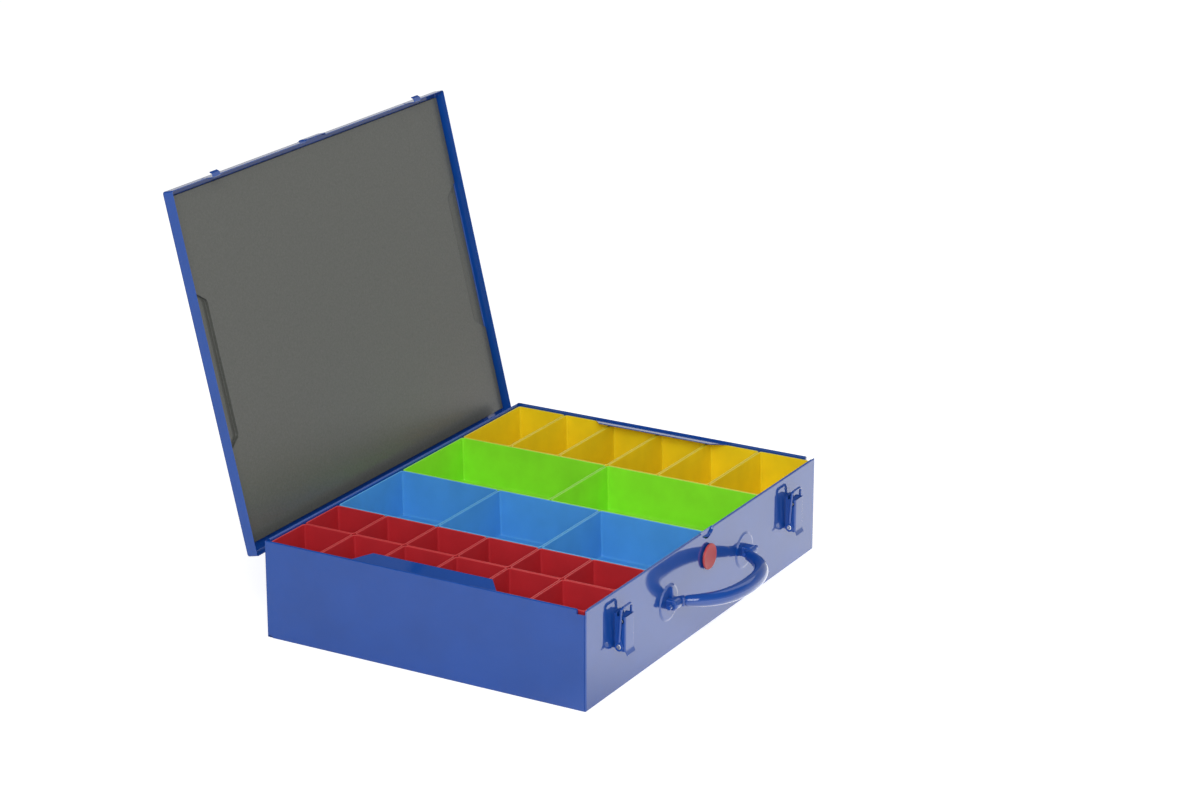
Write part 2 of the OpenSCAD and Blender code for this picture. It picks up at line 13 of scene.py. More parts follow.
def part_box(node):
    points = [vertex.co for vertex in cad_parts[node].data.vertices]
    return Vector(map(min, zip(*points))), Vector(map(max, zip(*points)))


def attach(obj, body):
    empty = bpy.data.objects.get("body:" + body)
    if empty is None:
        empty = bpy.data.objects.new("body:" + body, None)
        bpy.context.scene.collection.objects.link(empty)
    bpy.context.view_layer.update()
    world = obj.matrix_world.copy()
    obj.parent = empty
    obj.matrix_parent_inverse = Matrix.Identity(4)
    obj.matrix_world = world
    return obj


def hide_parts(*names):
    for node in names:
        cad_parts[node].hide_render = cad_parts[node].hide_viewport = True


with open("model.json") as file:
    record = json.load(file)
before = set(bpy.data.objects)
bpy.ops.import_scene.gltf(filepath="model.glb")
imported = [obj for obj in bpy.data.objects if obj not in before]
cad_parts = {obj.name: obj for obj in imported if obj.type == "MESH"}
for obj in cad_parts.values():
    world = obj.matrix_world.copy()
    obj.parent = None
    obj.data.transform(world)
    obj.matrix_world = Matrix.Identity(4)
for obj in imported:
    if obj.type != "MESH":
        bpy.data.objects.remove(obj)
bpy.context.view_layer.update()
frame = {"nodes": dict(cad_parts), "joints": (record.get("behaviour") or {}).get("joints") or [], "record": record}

MM = 0.001
record = frame["record"]
BODY = {node: body for body, nodes in record["behaviour"]["bodies"].items() for node in nodes}
JOINTS = {joint["name"]: joint for joint in frame["joints"]}
SIDES = (("left", -1), ("right", 1))

# Tray
tray_low, tray_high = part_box("tray")
CASE_W = tray_high.x - tray_low.x
CASE_D = tray_high.y - tray_low.y
FRONT = tray_low.y
BACK = tray_high.y
SHEET = 0.8 * MM
RIM = 93.3 * MM
CORNER_R = 1.8 * MM
BEND_R = 1.6 * MM
HEM_H = 8 * MM
HEM_T = 2.5 * MM
HEM_STOP = 6 * MM
HEM_EDGE = 0.4 * MM
HEM_GAP = 0.1 * MM
NOTCH_L = 9 * MM
NOTCH_H = 4.3 * MM
RELIEF_L = 5 * MM
RELIEF_H = 2.5 * MM
SEAM_W = 0.8 * MM
SEAM_IN = 0.5 * MM
TAB_ROOT = 152 * MM
TAB_EDGE = 123 * MM
TAB_REACH = 18.8 * MM
TAB_DROP = 2 * MM
TAB_UP = 1.7 * MM
TAB_RISE = math.asin((TAB_DROP + TAB_UP) / TAB_REACH)
TAB_BEND = 1 * MM
TAB_SINK = 0.3 * MM
TAB_TOP = 0.7 * MM

# Thumb dish in the front rim, and the slot under it
DISH_W = 23.2 * MM
DISH_H = 6.6 * MM
DISH_IN = 2 * MM
DISH_TILT = math.radians(42)
DISH_SLOPE = 0.5 * MM
DISH_POWER = 2.6
DISH_COLUMNS = 56
DISH_ROWS = 15
DISH_ROW_H = 0.45 * MM
DISH_MARGIN = 1 * MM
SLOT_W = 11 * MM
SLOT_H = 1.3 * MM
SLOT_CURVE = 3 * MM
SLOT_DROP = 0.2 * MM

# Boxes
BOX_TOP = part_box("red_box_1")[1].z
BOX_WALL = 1.4 * MM
BOX_FLOOR = 1.6 * MM
BOX_FLOOR_R = 2.2 * MM
BOX_RIM_R = 0.28 * BOX_WALL
BOX_R = 3 * MM
BOX_R_LOSS = 0.55
BOX_R_MIN = 1.5 * MM
BOX_DRAFT = 1.5 * MM
BOX_FOOT_R = 3 * MM
BOX_RECESS_H = 0.5 * MM
BOX_RECESS_LOW = 3.4 * MM
BOX_RECESS_HIGH = 4 * MM
BOX_LIP = 0.35 * MM
BOX_LIP_H = 3.2 * MM
# The curve under the lip, as (share of the lip that is still missing, height above its lower end)
BOX_LIP_CURVE = ((0.3, 0.5 * MM), (0, 0.9 * MM))
# Depths below the rim at which the painted rim highlight, a paler colour, begins and is full
RIM_HIGHLIGHT_DEPTHS = (0.3 * MM, 0.06 * MM)

# Lid, in its closed place
HINGE = Vector(JOINTS["lid_hinge"]["pos_m"])
LID_OPEN = math.radians(-JOINTS["lid_hinge"]["range_deg"][0])
LID_RISE = 3.3 * MM
LID_SKIRT = 11.6 * MM
LID_FIT = 0.4 * MM
LID_BEND = 1.9 * MM
LID_CORNER_MIN = 0.3 * MM
SKIRT_EDGE_IN = 0.25 * MM
SKIRT_EDGE_UP = 0.3 * MM
SKIRT_LAP = 1 * MM
LINER_T = 3.8 * MM
LINER_R = 1.2 * MM
LINER_EDGE = 0.5 * MM
LINER_SIDE = 3.7 * MM
LINER_FRONT = 5 * MM
LINER_REAR = 8.5 * MM
RECESS_R = 4 * MM
RECESS_SLOPE = math.radians(5)
RECESS_LEFT = 0.5 * MM
RECESS_FIT = 1.2 * MM
BUMP_W = 30 * MM
BUMP_OUT = 1.5 * MM
BUMP_PAST = 2 * MM
BUMP_SLOPE = 2.5 * MM
BUMP_TOP = 1.2 * MM
BUMP_RISE = 2.2 * MM
BUMP_MARGIN = 3 * MM
BUMP_COLUMNS = 40
PIN_R = 1.25 * MM
PIN_FIT = 0.05 * MM
HINGE_L = 400 * MM
KNUCKLES = 9
KNUCKLE_GAP = 0.4 * MM
KNUCKLE_ROLL = 300
APRON_UP = 2.65 * MM
HOOK_W = 11 * MM
HOOK_FLOOR = 3 * MM
HOOK_LIP = 3.6 * MM
HOOK_ANGLE = math.radians(55)
HOOK_ROOT_R = 1.1 * MM
HOOK_TIP_R = 1.4 * MM
LANCE_W = 4 * MM
LANCE_H = 2.5 * MM

LID_TOP = RIM + LID_RISE
LID_UNDER = LID_TOP - SHEET
SKIRT_Z = LID_TOP - LID_SKIRT
LID_W = CASE_W + 2 * (LID_FIT + SHEET)
LID_FRONT = FRONT - LID_FIT - SHEET
LID_REAR = HINGE.y + PIN_R + PIN_FIT + SHEET

# Latches
LATCH_X = JOINTS["lever_right_swing"]["pos_m"][0]
PIVOT_D = FRONT - JOINTS["lever_right_swing"]["pos_m"][1]
PIVOT_Z = JOINTS["lever_right_swing"]["pos_m"][2]
LOOP_PIN_D = FRONT - JOINTS["loop_right_swing"]["pos_m"][1]
LOOP_PIN_Z = JOINTS["loop_right_swing"]["pos_m"][2]
LEVER_W = 15.5 * MM
LEVER_T = 1 * MM
LEVER_Z = 40.4 * MM
LEVER_H = 32 * MM
LEVER_D = 11.4 * MM
LEVER_R = 1.5 * MM
LEVER_TOP = LEVER_Z + LEVER_H
SIDE_FOOT = 1.8 * MM
SIDE_HIGH = 2.8 * MM
SIDE_STEP = 18 * MM
SIDE_RISE = 2 * MM
SIDE_FOOT_R = 2.8 * MM
SIDE_STEP_R = 1.2 * MM
LIP_OUT = 1.9 * MM
LIP_DOWN = 3.2 * MM
LIP_BEND_R = 6 * MM
LIP_BEND_UP = 1 * MM
LIP_UP = 6 * MM
LIP_T = 0.7 * MM
LIP_SIDE = 0.6 * MM
LIP_SINK = 0.05 * MM
ARCH_D = 4 * MM
ARCH_DEPTH = 1.4 * MM
ARCH_T = 0.8 * MM
ARCH_SINK = 0.2 * MM
LUG_R = 2.4 * MM
BAR_D = 8 * MM
BAR_UP = 7.8 * MM
BAR_Z = LEVER_TOP + BAR_UP
WIRE_R = 1.25 * MM
LEG_FIT = 0.3 * MM
LEG_X = LEVER_W / 2 + LEG_FIT + WIRE_R
LOOP_BEND = 3.6 * MM
EYE_R = 4.2 * MM
EYE_T = 1.2 * MM
EYE_EDGE = 0.35 * MM
EYE_NECK = 5.8 * MM
EYE_LAP = 1 * MM
# The dished head of a loop pin, as (share of its radius, depth from its end), and its shank
PIN_HEAD = ((0, 0.15 * MM), (0.45, 0.15 * MM), (0.62, 0), (0.86, 0.08 * MM), (1, 0.3 * MM), (1, 0.55 * MM))
PIN_HEAD_T = 0.6 * MM
PIN_SHANK_R = 1.2 * MM

# Handle
HANDLE_D = FRONT - JOINTS["handle_swing"]["pos_m"][1]
HANDLE_Z = JOINTS["handle_swing"]["pos_m"][2]
HANDLE_W = 146 * MM
REACH = 36.5 * MM
NECK_L = 10.5 * MM
NECK_OUT = 4 * MM
NEAR_PULL = 24 * MM
FAR_PULL = 33 * MM
RISE_ANGLE = math.radians(60)
GRIP_END_R = 4.4 * MM
GRIP_MID_R = 7.3 * MM
GRIP_ROUND = 0.9 * MM
GRIP_POINTS = 72
SWELL = 0.45
ROD_R = 2 * MM
DISC_R = 17.5 * MM
DISC_T = 0.9 * MM
DISC_RIM = 2.5 * MM
DISC_EDGE = 0.2
BOSS_R = 5 * MM
BOSS_L = 12 * MM
BOSS_END = 2 * MM
EAR_T = 2 * MM
EAR_H = 15 * MM
EAR_REACH = 3.4 * MM
EAR_LEAN = 1 * MM
EAR_R = 1.2 * MM
EAR_EDGE = 0.4 * MM

# Button
button_low, button_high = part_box("push_button")
BUTTON_Z = (button_low.z + button_high.z) / 2
BUTTON_R = (button_high.x - button_low.x) / 2
BUTTON_T = 1.9 * MM
BUTTON_ROUND = 0.7 * MM
BUTTON_EDGE = 0.2 * MM
# The shallow dish in the cap's face, as (share of its radius, depth)
BUTTON_DISH = ((0, 0.25 * MM), (0.78, 0.2 * MM), (0.84, 0.02 * MM), (0.88, 0))
STEM_R = 4 * MM
STEM_HOLE_R = 4.3 * MM

# Camera, as fitted to the photograph
PHOTO_W = 1186
FOCAL_PX = 3191.6
CAMERA_AZ = math.radians(-60.304)
CAMERA_EL = math.radians(18.672)
CAMERA_ROLL = math.radians(-0.047)
CAMERA_DIST = 2.97196
CAMERA_AIM = (-0.040411, 0.182987)
SENSOR_W = 36

# Strengths of the sky as light, and in reflections from low to high
SKY_LIGHT = 0.38
SKY_IN_GLOSS = (0.9, 0.1)
SKY_HEIGHTS = (0.08, 0.55)

# The floor's half width, and the strength that the camera sees
FLOOR_HALF = 20
FLOOR_WHITE = 0.66
# The floor's glow in reflections is painted light: a pool of light towards the front right and painted shade
# behind and on the left
# What reflections see of the floor, as (from place, to place, from strength, to strength). The first two are
# added and go from the back left to the front right, and the third dims their sum along X
FLOOR_NEAR = (-0.12, 0.12, 0.15, 1.3)
FLOOR_FAR = (0.5, 3.5, 0.0, 0.55)
FLOOR_DIM = (0.6, 1.3, 1.0, 0.25)

# Lamps: name, place, size and power
LAMPS = (("key", (-2.2, -1.15, 1.7), 1.6, 46), ("fill", (1.8, -0.4, 2.0), 1.4, 6))
LAMP_AIM = Vector((0, 0, 0.1))

# Roundings of cut and folded edges, the reach of a cutter past what it cuts, and the tools' limits
EDGE = 0.2 * MM
FINE_EDGE = 0.15 * MM
OVER = 1 * MM
WELD = 0.001 * MM
FLAT = math.radians(0.5)
SHARP = math.radians(38)
CREASE = math.radians(50)


# Materials

def new_material(name, **sockets):
    """A material whose Principled shader has these sockets set; returns it with its nodes and links."""
    material = bpy.data.materials.new(name)
    material.use_nodes = True
    nodes, links = material.node_tree.nodes, material.node_tree.links
    shader = nodes["Principled BSDF"]
    for socket, value in sockets.items():
        shader.inputs[socket.replace("_", " ")].default_value = value
    place = nodes.new("ShaderNodeTexCoord").outputs["Object"]
    return material, nodes, links, shader, place


def feed(links, socket, source):
    """Links an output to a socket, or sets the socket to a number."""
    if isinstance(source, (int, float)):
        socket.default_value = source
    else:
        links.new(source, socket)


def noise(nodes, links, place, scale, detail=2.0, roughness=0.5):
    node = nodes.new("ShaderNodeTexNoise")
    node.inputs["Scale"].default_value = scale
    node.inputs["Detail"].default_value = detail
    node.inputs["Roughness"].default_value = roughness
    links.new(place, node.inputs["Vector"])
    return node.outputs["Fac"]


def mottled(nodes, links, factor, colour, spread, margin=0.3):
    """A colour that goes from a little darker to a little lighter with a factor."""
    node = nodes.new("ShaderNodeValToRGB")
    stops = ((margin, 1 - spread), (1 - margin, 1 + spread))
    for element, (position, share) in zip(node.color_ramp.elements, stops):
        element.position = position
        element.color = (*(min(1, c * share) for c in colour), 1)
    links.new(factor, node.inputs["Fac"])
    return node.outputs["Color"]


def bump(nodes, links, height, strength, distance):
    node = nodes.new("ShaderNodeBump")
    node.inputs["Strength"].default_value = strength
    node.inputs["Distance"].default_value = distance
    links.new(height, node.inputs["Height"])
    return node.outputs["Normal"]


def mapped(nodes, links, value, limits, curve="LINEAR"):
    """A value taken from one range to another; limits are from low, from high, to low and to high."""
    node = nodes.new("ShaderNodeMapRange")
    node.interpolation_type = curve
    for socket, limit in zip(("From Min", "From Max", "To Min", "To Max"), limits):
        node.inputs[socket].default_value = limit
    links.new(value, node.inputs["Value"])
    return node.outputs["Result"]


def combined(nodes, links, operation, first, second):
    """Two values put together; the second may be a number."""
    node = nodes.new("ShaderNodeMath")
    node.operation = operation
    links.new(first, node.inputs[0])
    feed(links, node.inputs[1], second)
    return node.outputs[0]


def lacquer(name, colour):
    """Glossy enamel on sheet steel, with a faint orange peel."""
    material, nodes, links, shader, place = new_material(
        name, Roughness=0.5, Specular_IOR_Level=0.1, Coat_Weight=1.0, Coat_Roughness=0.05, Coat_IOR=1.6)
    cloud = noise(nodes, links, place, 22, 3)
    links.new(mottled(nodes, links, cloud, colour, 0.05, 0.35), shader.inputs["Base Color"])
    peel = bump(nodes, links, noise(nodes, links, place, 520), 0.03, 0.1 * MM)
    links.new(peel, shader.inputs["Normal"])
    links.new(peel, shader.inputs["Coat Normal"])
    return material


def moulded(name, colour, roughness=0.36, edge=None):
    """Satin moulded plastic with a fine eroded texture and flow marks, and, when given, a paler colour painted at
    its rim as a highlight.
    """
    material, nodes, links, shader, place = new_material(
        name, IOR=1.49, Subsurface_Weight=0.12, Subsurface_Scale=0.004, Subsurface_Radius=(1.0, 0.7, 0.5))
    body = mottled(nodes, links, noise(nodes, links, place, 38, 3), colour, 0.06)
    # Painted highlight: a paler colour mixed in at the top of the rim, where light catches it
    if edge:
        height = nodes.new("ShaderNodeSeparateXYZ")
        rim_highlight_mix = nodes.new("ShaderNodeMix")
        rim_highlight_mix.data_type = "RGBA"
        links.new(place, height.inputs["Vector"])
        low, high = [BOX_TOP - depth for depth in RIM_HIGHLIGHT_DEPTHS]
        links.new(mapped(nodes, links, height.outputs["Z"], (low, high, 0, 1)), rim_highlight_mix.inputs[0])
        links.new(body, rim_highlight_mix.inputs[6])
        rim_highlight_mix.inputs[7].default_value = (*edge, 1)
        body = rim_highlight_mix.outputs[2]
    links.new(body, shader.inputs["Base Color"])
    worn = noise(nodes, links, place, 160, 4)
    gloss = mapped(nodes, links, worn, (0, 1, roughness - 0.05, roughness + 0.07))
    links.new(gloss, shader.inputs["Roughness"])
    grain = bump(nodes, links, noise(nodes, links, place, 1900), 0.06, 0.1 * MM)
    links.new(grain, shader.inputs["Normal"])
    return material


def foam(name, colour):
    """Fine closed-cell foam: speckled grey with a soft sheen."""
    material, nodes, links, shader, place = new_material(name, IOR=1.5, Roughness=0.27)
    cells = noise(nodes, links, place, 1300, 3, 0.7)
    both = combined(nodes, links, "ADD", cells, noise(nodes, links, place, 520))
    mean = combined(nodes, links, "MULTIPLY", both, 0.5)
    links.new(mottled(nodes, links, mean, colour, 0.16), shader.inputs["Base Color"])
    links.new(bump(nodes, links, cells, 0.12, 0.15 * MM), shader.inputs["Normal"])
    return material


def plated(name, colour):
    """Zinc-plated steel with fine turning marks."""
    material, nodes, links, shader, place = new_material(name, Metallic=1.0)
    marks = noise(nodes, links, place, 1500)
    links.new(mottled(nodes, links, marks, colour, 0.08), shader.inputs["Base Color"])
    links.new(mapped(nodes, links, marks, (0, 1, 0.22, 0.36)), shader.inputs["Roughness"])
    return material


MATERIALS = {
    "case_blue": lacquer("case_blue_lacquer", (0.006, 0.074, 0.385)),
    # The edge colours are paler copies of the box colours, painted at the rims as highlights
    "box_red": moulded("box_red_plastic", (0.53, 0.024, 0.034), edge=(0.72, 0.06, 0.065)),
    "box_blue": moulded("box_blue_plastic", (0.082, 0.36, 0.76), edge=(0.13, 0.50, 0.92)),
    "box_green": moulded("box_green_plastic", (0.30, 0.84, 0.03), edge=(0.40, 0.97, 0.10)),
    "box_yellow": moulded("box_yellow_plastic", (0.93, 0.70, 0.012), edge=(0.96, 0.77, 0.05)),
    "liner_grey": foam("liner_foam", (0.108, 0.112, 0.100)),
    "button_red": moulded("button_plastic", (0.62, 0.075, 0.075), 0.42),
    "steel": plated("plated_steel", (0.62, 0.63, 0.64)),
}


def slot_of(node):
    """The record's material slot of a CAD node."""
    for prefix, slot in (("red_box", "box_red"), ("blue_box", "box_blue"), ("green_box", "box_green"),
                         ("yellow_box", "box_yellow"), ("lid_liner", "liner_grey"),
                         ("push_button", "button_red"), ("hinge_pin", "steel"), ("latch_rivets", "steel"),
                         ("button_", "steel"), ("lever_pin", "steel"), ("loop_pin", "steel")):
        if node.startswith(prefix):
            return slot
    return "case_blue"


# Mesh tools

def new_piece(name, bm, slot="case_blue"):
    """An object at the origin made of this mesh."""
    mesh = bpy.data.meshes.new(name)
    bm.to_mesh(mesh)
    bm.free()
    piece = bpy.data.objects.new(name, mesh)
    bpy.context.scene.collection.objects.link(piece)
    mesh.materials.append(MATERIALS[slot])
    piece["slot"] = slot
    return piece


def settled(piece):
    """Turns a piece's modifiers into plain mesh."""
    graph = bpy.context.evaluated_depsgraph_get()
    mesh = bpy.data.meshes.new_from_object(piece.evaluated_get(graph))
    old = piece.data
    piece.modifiers.clear()
    piece.data = mesh
    mesh.name = piece.name
    if old.users == 0:
        bpy.data.meshes.remove(old)
    return piece


def eased(piece, width=EDGE, segments=2):
    """Rounds a piece's sharp edges, and shades it smooth with its flat faces kept flat."""
    if width:
        modifier = piece.modifiers.new("Ease", "BEVEL")
        modifier.width = width
        modifier.segments = segments
        modifier.limit_method = "ANGLE"
        modifier.angle_limit = SHARP
        modifier.miter_outer = "MITER_ARC"
        settled(piece)
    piece.data.shade_smooth()
    piece.data.set_sharp_from_angle(angle=CREASE)
    modifier = piece.modifiers.new("Flats", "WEIGHTED_NORMAL")
    modifier.keep_sharp = True
    modifier.weight = 100
    return settled(piece)


def cut(piece, cutters, operation="DIFFERENCE"):
    """Cuts closed meshes out of a piece, or keeps only what is inside them, and deletes them."""
    for cutter in cutters:
        modifier = piece.modifiers.new("Cut", "BOOLEAN")
        modifier.operation = operation
        modifier.solver = "EXACT"
        modifier.object = cutter
    settled(piece)
    for cutter in cutters:
        bpy.data.objects.remove(cutter)
    return piece


def joined(name, pieces):
    """One piece made of several, with the first one's finish."""
    bm = bmesh.new()
    for piece in pieces:
        bm.from_mesh(piece.data)
    slot = pieces[0]["slot"]
    for piece in pieces:
        bpy.data.objects.remove(piece)
    return new_piece(name, bm, slot)


def dress(piece, node):
    """Puts a finished piece in the place of a CAD node, on its body."""
    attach(piece, BODY[node])
    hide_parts(node)


def prism(bm, outline, low, high, place):
    """Adds a closed prism: its outline in two coordinates, its ends in the third, put in space by place."""
    ends = [[bm.verts.new(place(a, b, c)) for a, b in outline] for c in (low, high)]
    count = len(outline)
    faces = [bm.faces.new((ends[0][i], ends[0][(i + 1) % count], ends[1][(i + 1) % count], ends[1][i]))
             for i in range(count)]
    faces.append(bm.faces.new(ends[0][::-1]))
    faces.append(bm.faces.new(ends[1]))
    bmesh.ops.recalc_face_normals(bm, faces=faces)


def as_z(a, b, c):
    """X, Y and height as a place."""
    return (a, b, c)


def on_front(a, b, c):
    """Distance out from the front wall, height and X as a place."""
    return (c, FRONT - a, b)


def into_front(a, b, c):
    """X, height and depth into the front wall as a place."""
    return (a, FRONT + c, b)


def block(bm, low, high):
    """Adds a box between two corners."""
    outline = [(low[0], low[1]), (high[0], low[1]), (high[0], high[1]), (low[0], high[1])]
    prism(bm, outline, low[2], high[2], as_z)


def spaced(low, high, steps):
    """Evenly spaced values from low to high."""
    return [low + (high - low) * i / steps for i in range(steps + 1)]


def arc(centre, radius, start, stop, steps):
    """Points of an arc, with its angles in degrees."""
    turns = [math.radians(turn) for turn in spaced(start, stop, steps)]
    return [(centre[0] + radius * math.cos(t), centre[1] + radius * math.sin(t)) for t in turns]


def circle(centre, radius, steps=32):
    """Points of a whole circle."""
    return arc(centre, radius, 0, 360, steps)[:-1]


def filleted(corners, radius, steps=6, closed=True):
    """An outline with its corners rounded; a corner may carry its own radius as a third value."""
    out = []
    count = len(corners)
    for i, corner in enumerate(corners):
        here = Vector(corner[:2])
        size = corner[2] if len(corner) > 2 else radius
        if size <= 0 or (not closed and i in (0, count - 1)):
            out.append(tuple(here))
            continue
        back = (Vector(corners[i - 1][:2]) - here).normalized()
        ahead = (Vector(corners[(i + 1) % count][:2]) - here).normalized()
        half = back.angle(ahead) / 2
        centre = here + (back + ahead).normalized() * (size / math.sin(half))
        first = here + back * (size / math.tan(half)) - centre
        last = here + ahead * (size / math.tan(half)) - centre
        start = math.atan2(first.y, first.x)
        turn = (math.atan2(last.y, last.x) - start + math.pi) % (2 * math.pi) - math.pi
        out += arc(centre, size, math.degrees(start), math.degrees(start + turn), steps)
    return out


def strip(line, thickness):
    """The outline of a bent sheet whose one face follows the line; its thickness lies on the line's left."""
    far = []
    last = len(line) - 1
    for i, point in enumerate(line):
        here = Vector(point)
        before = (here - Vector(line[i - 1])).normalized() if i else None
        after = (Vector(line[i + 1]) - here).normalized() if i < last else None
        before = before or after
        after = after or before
        normals = [Vector((-v.y, v.x)) for v in (before, after)]
        mean = (normals[0] + normals[1]).normalized()
        far.append(tuple(here + mean * (thickness / max(0.3, mean.dot(normals[0])))))
    return list(line) + far[::-1]


def ring(w, d, r, z, middle=(0, 0), front_xs=(), steps=6):
    """Points of a rounded rectangle, anticlockwise from its right front corner."""
    points = []
    for turn, (sx, sy) in enumerate(((1, -1), (1, 1), (-1, 1), (-1, -1))):
        corner = (sx * (w / 2 - r), sy * (d / 2 - r))
        points += [(x, y, z) for x, y in arc(corner, r, 90 * turn - 90, 90 * turn, steps)]
    points += [(x, -d / 2, z) for x in front_xs]
    return [(x + middle[0], y + middle[1], z) for x, y, z in points]


def loft(bm, rings):
    """Adds a closed mesh through rings of the same number of points."""
    loops = [[bm.verts.new(p) for p in points] for points in rings]
    count = len(loops[0])
    for low, high in zip(loops, loops[1:]):
        for i in range(count):
            j = (i + 1) % count
            bm.faces.new((low[i], low[j], high[j], high[i]))
    bm.faces.new(loops[0][::-1])
    bm.faces.new(loops[-1])


def lathe(bm, section, place, steps=64):
    """Adds a solid of revolution; its section is (radius, height) pairs, and place puts it in space."""
    rows = []
    for radius, height in section:
        if radius < WELD:
            rows.append([bm.verts.new(place(0, 0, height))])
        else:
            rows.append([bm.verts.new(place(x, y, height)) for x, y in circle((0, 0), radius, steps)])
    faces = []
    for low, high in zip(rows, rows[1:]):
        for i in range(steps):
            j = (i + 1) % steps
            quad = [low[i % len(low)], low[j % len(low)], high[j % len(high)], high[i % len(high)]]
            corners = list(dict.fromkeys(quad))
            if len(corners) > 2:
                faces.append(bm.faces.new(corners))
    bmesh.ops.recalc_face_normals(bm, faces=faces)


def softened(node, width):
    """Dresses a CAD node in its own shape, with its facets merged and its edges rounded."""
    bm = bmesh.new()
    bm.from_mesh(frame["nodes"][node].data)
    bmesh.ops.remove_doubles(bm, verts=bm.verts[:], dist=WELD)
    bmesh.ops.dissolve_limit(bm, angle_limit=FLAT, verts=bm.verts[:], edges=bm.edges[:])
    piece = new_piece(f"{node}_formed", bm, slot_of(node))
    dress(eased(piece, width), node)


# Geometry node trees for what repeats or follows a path

def new_tree(name, inputs):
    """A tree with a Geometry socket at both ends and these named inputs; returns it with its ends."""
    tree = bpy.data.node_groups.new(name, "GeometryNodeTree")
    tree.interface.new_socket("Geometry", in_out="INPUT", socket_type="NodeSocketGeometry")
    tree.interface.new_socket("Geometry", in_out="OUTPUT", socket_type="NodeSocketGeometry")
    for socket, kind in inputs:
        tree.interface.new_socket(socket, in_out="INPUT", socket_type=kind)
    return tree, tree.nodes.new("NodeGroupInput"), tree.nodes.new("NodeGroupOutput")


def finish_tree(tree, geometry, end):
    """Ends a tree in real meshes with their material."""
    real = tree.nodes.new("GeometryNodeRealizeInstances")
    coat = tree.nodes.new("GeometryNodeSetMaterial")
    tree.links.new(geometry, real.inputs["Geometry"])
    tree.links.new(real.outputs["Geometry"], coat.inputs["Geometry"])
    tree.links.new(tree.nodes["Group Input"].outputs["Finish"], coat.inputs["Material"])
    tree.links.new(coat.outputs["Geometry"], end.inputs["Geometry"])
    return tree


def rod_tree():
    """A round rod swept along a curve, as thick as the curve's radius."""
    tree, start, end = new_tree("rod_along_path", [("Sides", "NodeSocketInt"),
                                                   ("Finish", "NodeSocketMaterial")])
    section = tree.nodes.new("GeometryNodeCurvePrimitiveCircle")
    section.inputs["Radius"].default_value = 1.0
    radius = tree.nodes.new("GeometryNodeInputRadius")
    sweep = tree.nodes.new("GeometryNodeCurveToMesh")
    sweep.inputs["Fill Caps"].default_value = True
    tree.links.new(start.outputs["Sides"], section.inputs["Resolution"])
    tree.links.new(start.outputs["Geometry"], sweep.inputs["Curve"])
    tree.links.new(section.outputs["Curve"], sweep.inputs["Profile Curve"])
    tree.links.new(radius.outputs["Radius"], sweep.inputs["Scale"])
    return finish_tree(tree, sweep.outputs["Mesh"], end)


def row_tree():
    """Copies of a mesh in a straight row along X."""
    tree, start, end = new_tree("row_of_parts", [("Count", "NodeSocketInt"), ("Pitch", "NodeSocketFloat"),
                                                 ("Finish", "NodeSocketMaterial")])
    offset = tree.nodes.new("ShaderNodeCombineXYZ")
    line = tree.nodes.new("GeometryNodeMeshLine")
    copies = tree.nodes.new("GeometryNodeInstanceOnPoints")
    tree.links.new(start.outputs["Pitch"], offset.inputs["X"])
    tree.links.new(offset.outputs["Vector"], line.inputs["Offset"])
    tree.links.new(start.outputs["Count"], line.inputs["Count"])
    tree.links.new(line.outputs["Mesh"], copies.inputs["Points"])
    tree.links.new(start.outputs["Geometry"], copies.inputs["Instance"])
    return finish_tree(tree, copies.outputs["Instances"], end)


def grown(source, tree, name, slot="case_blue", **values):
    """Runs a tree on an object with its inputs set, and returns the result as a plain piece."""
    modifier = source.modifiers.new("Grow", "NODES")
    modifier.node_group = tree
    sockets = {item.name: item.identifier for item in tree.interface.items_tree if item.in_out == "INPUT"}
    for socket, value in values.items():
        modifier[sockets[socket]] = value
    modifier[sockets["Finish"]] = MATERIALS[slot]
    bpy.context.view_layer.update()
    graph = bpy.context.evaluated_depsgraph_get()
    mesh = bpy.data.meshes.new_from_object(source.evaluated_get(graph))
    bm = bmesh.new()
    bm.from_mesh(mesh)
    bmesh.ops.recalc_face_normals(bm, faces=bm.faces[:])
    bpy.data.meshes.remove(mesh)
    bpy.data.objects.remove(source)
    return new_piece(name, bm, slot)


def path_curve(points, radii):
    """A curve object of one polyline with a radius at each point."""
    curve = bpy.data.curves.new("path", "CURVE")
    curve.dimensions = "3D"
    spline = curve.splines.new("POLY")
    spline.points.add(len(points) - 1)
    for target, point, radius in zip(spline.points, points, radii):
        target.co = (*point, 1)
        target.radius = radius
    path = bpy.data.objects.new("path", curve)
    bpy.context.scene.collection.objects.link(path)
    return path


ROD = rod_tree()
ROW = row_tree()


# Tray

def smooth(value):
    """0 below 0, 1 above 1, and a smooth rise between."""
    t = min(1, max(0, value))
    return t * t * (3 - 2 * t)


def dish_depth(x, z):
    """How far the thumb dish is pressed in at a place of the front wall."""
    across = abs(x) / (DISH_W / 2)
    if across >= 1:
        return 0
    floor = RIM - DISH_H * math.sqrt(max(0, 1 - across ** DISH_POWER))
    depth = DISH_SLOPE + (z - RIM + DISH_H) * math.tan(DISH_TILT)
    return min(DISH_IN, depth) * smooth((z - floor) / DISH_SLOPE)


def tray_section():
    """The tray's section from its outer floor over the hem to its inner floor, as (inset, height)."""
    fold = HEM_T / 2
    inner = BEND_R - SHEET
    rows = [RIM - DISH_H - DISH_MARGIN + DISH_ROW_H * k for k in range(DISH_ROWS)]
    points = arc((BEND_R, BEND_R), BEND_R, 270, 180, 5)
    points += [(0, z) for z in rows if z < RIM - fold - HEM_GAP]
    points += arc((fold, RIM - fold), fold, 180, 0, 12)
    points += [(HEM_T, RIM - HEM_H + HEM_EDGE), (HEM_T - HEM_EDGE, RIM - HEM_H), (SHEET, RIM - HEM_H)]
    return points + arc((SHEET + inner, SHEET + inner), inner, 180, 270, 3)


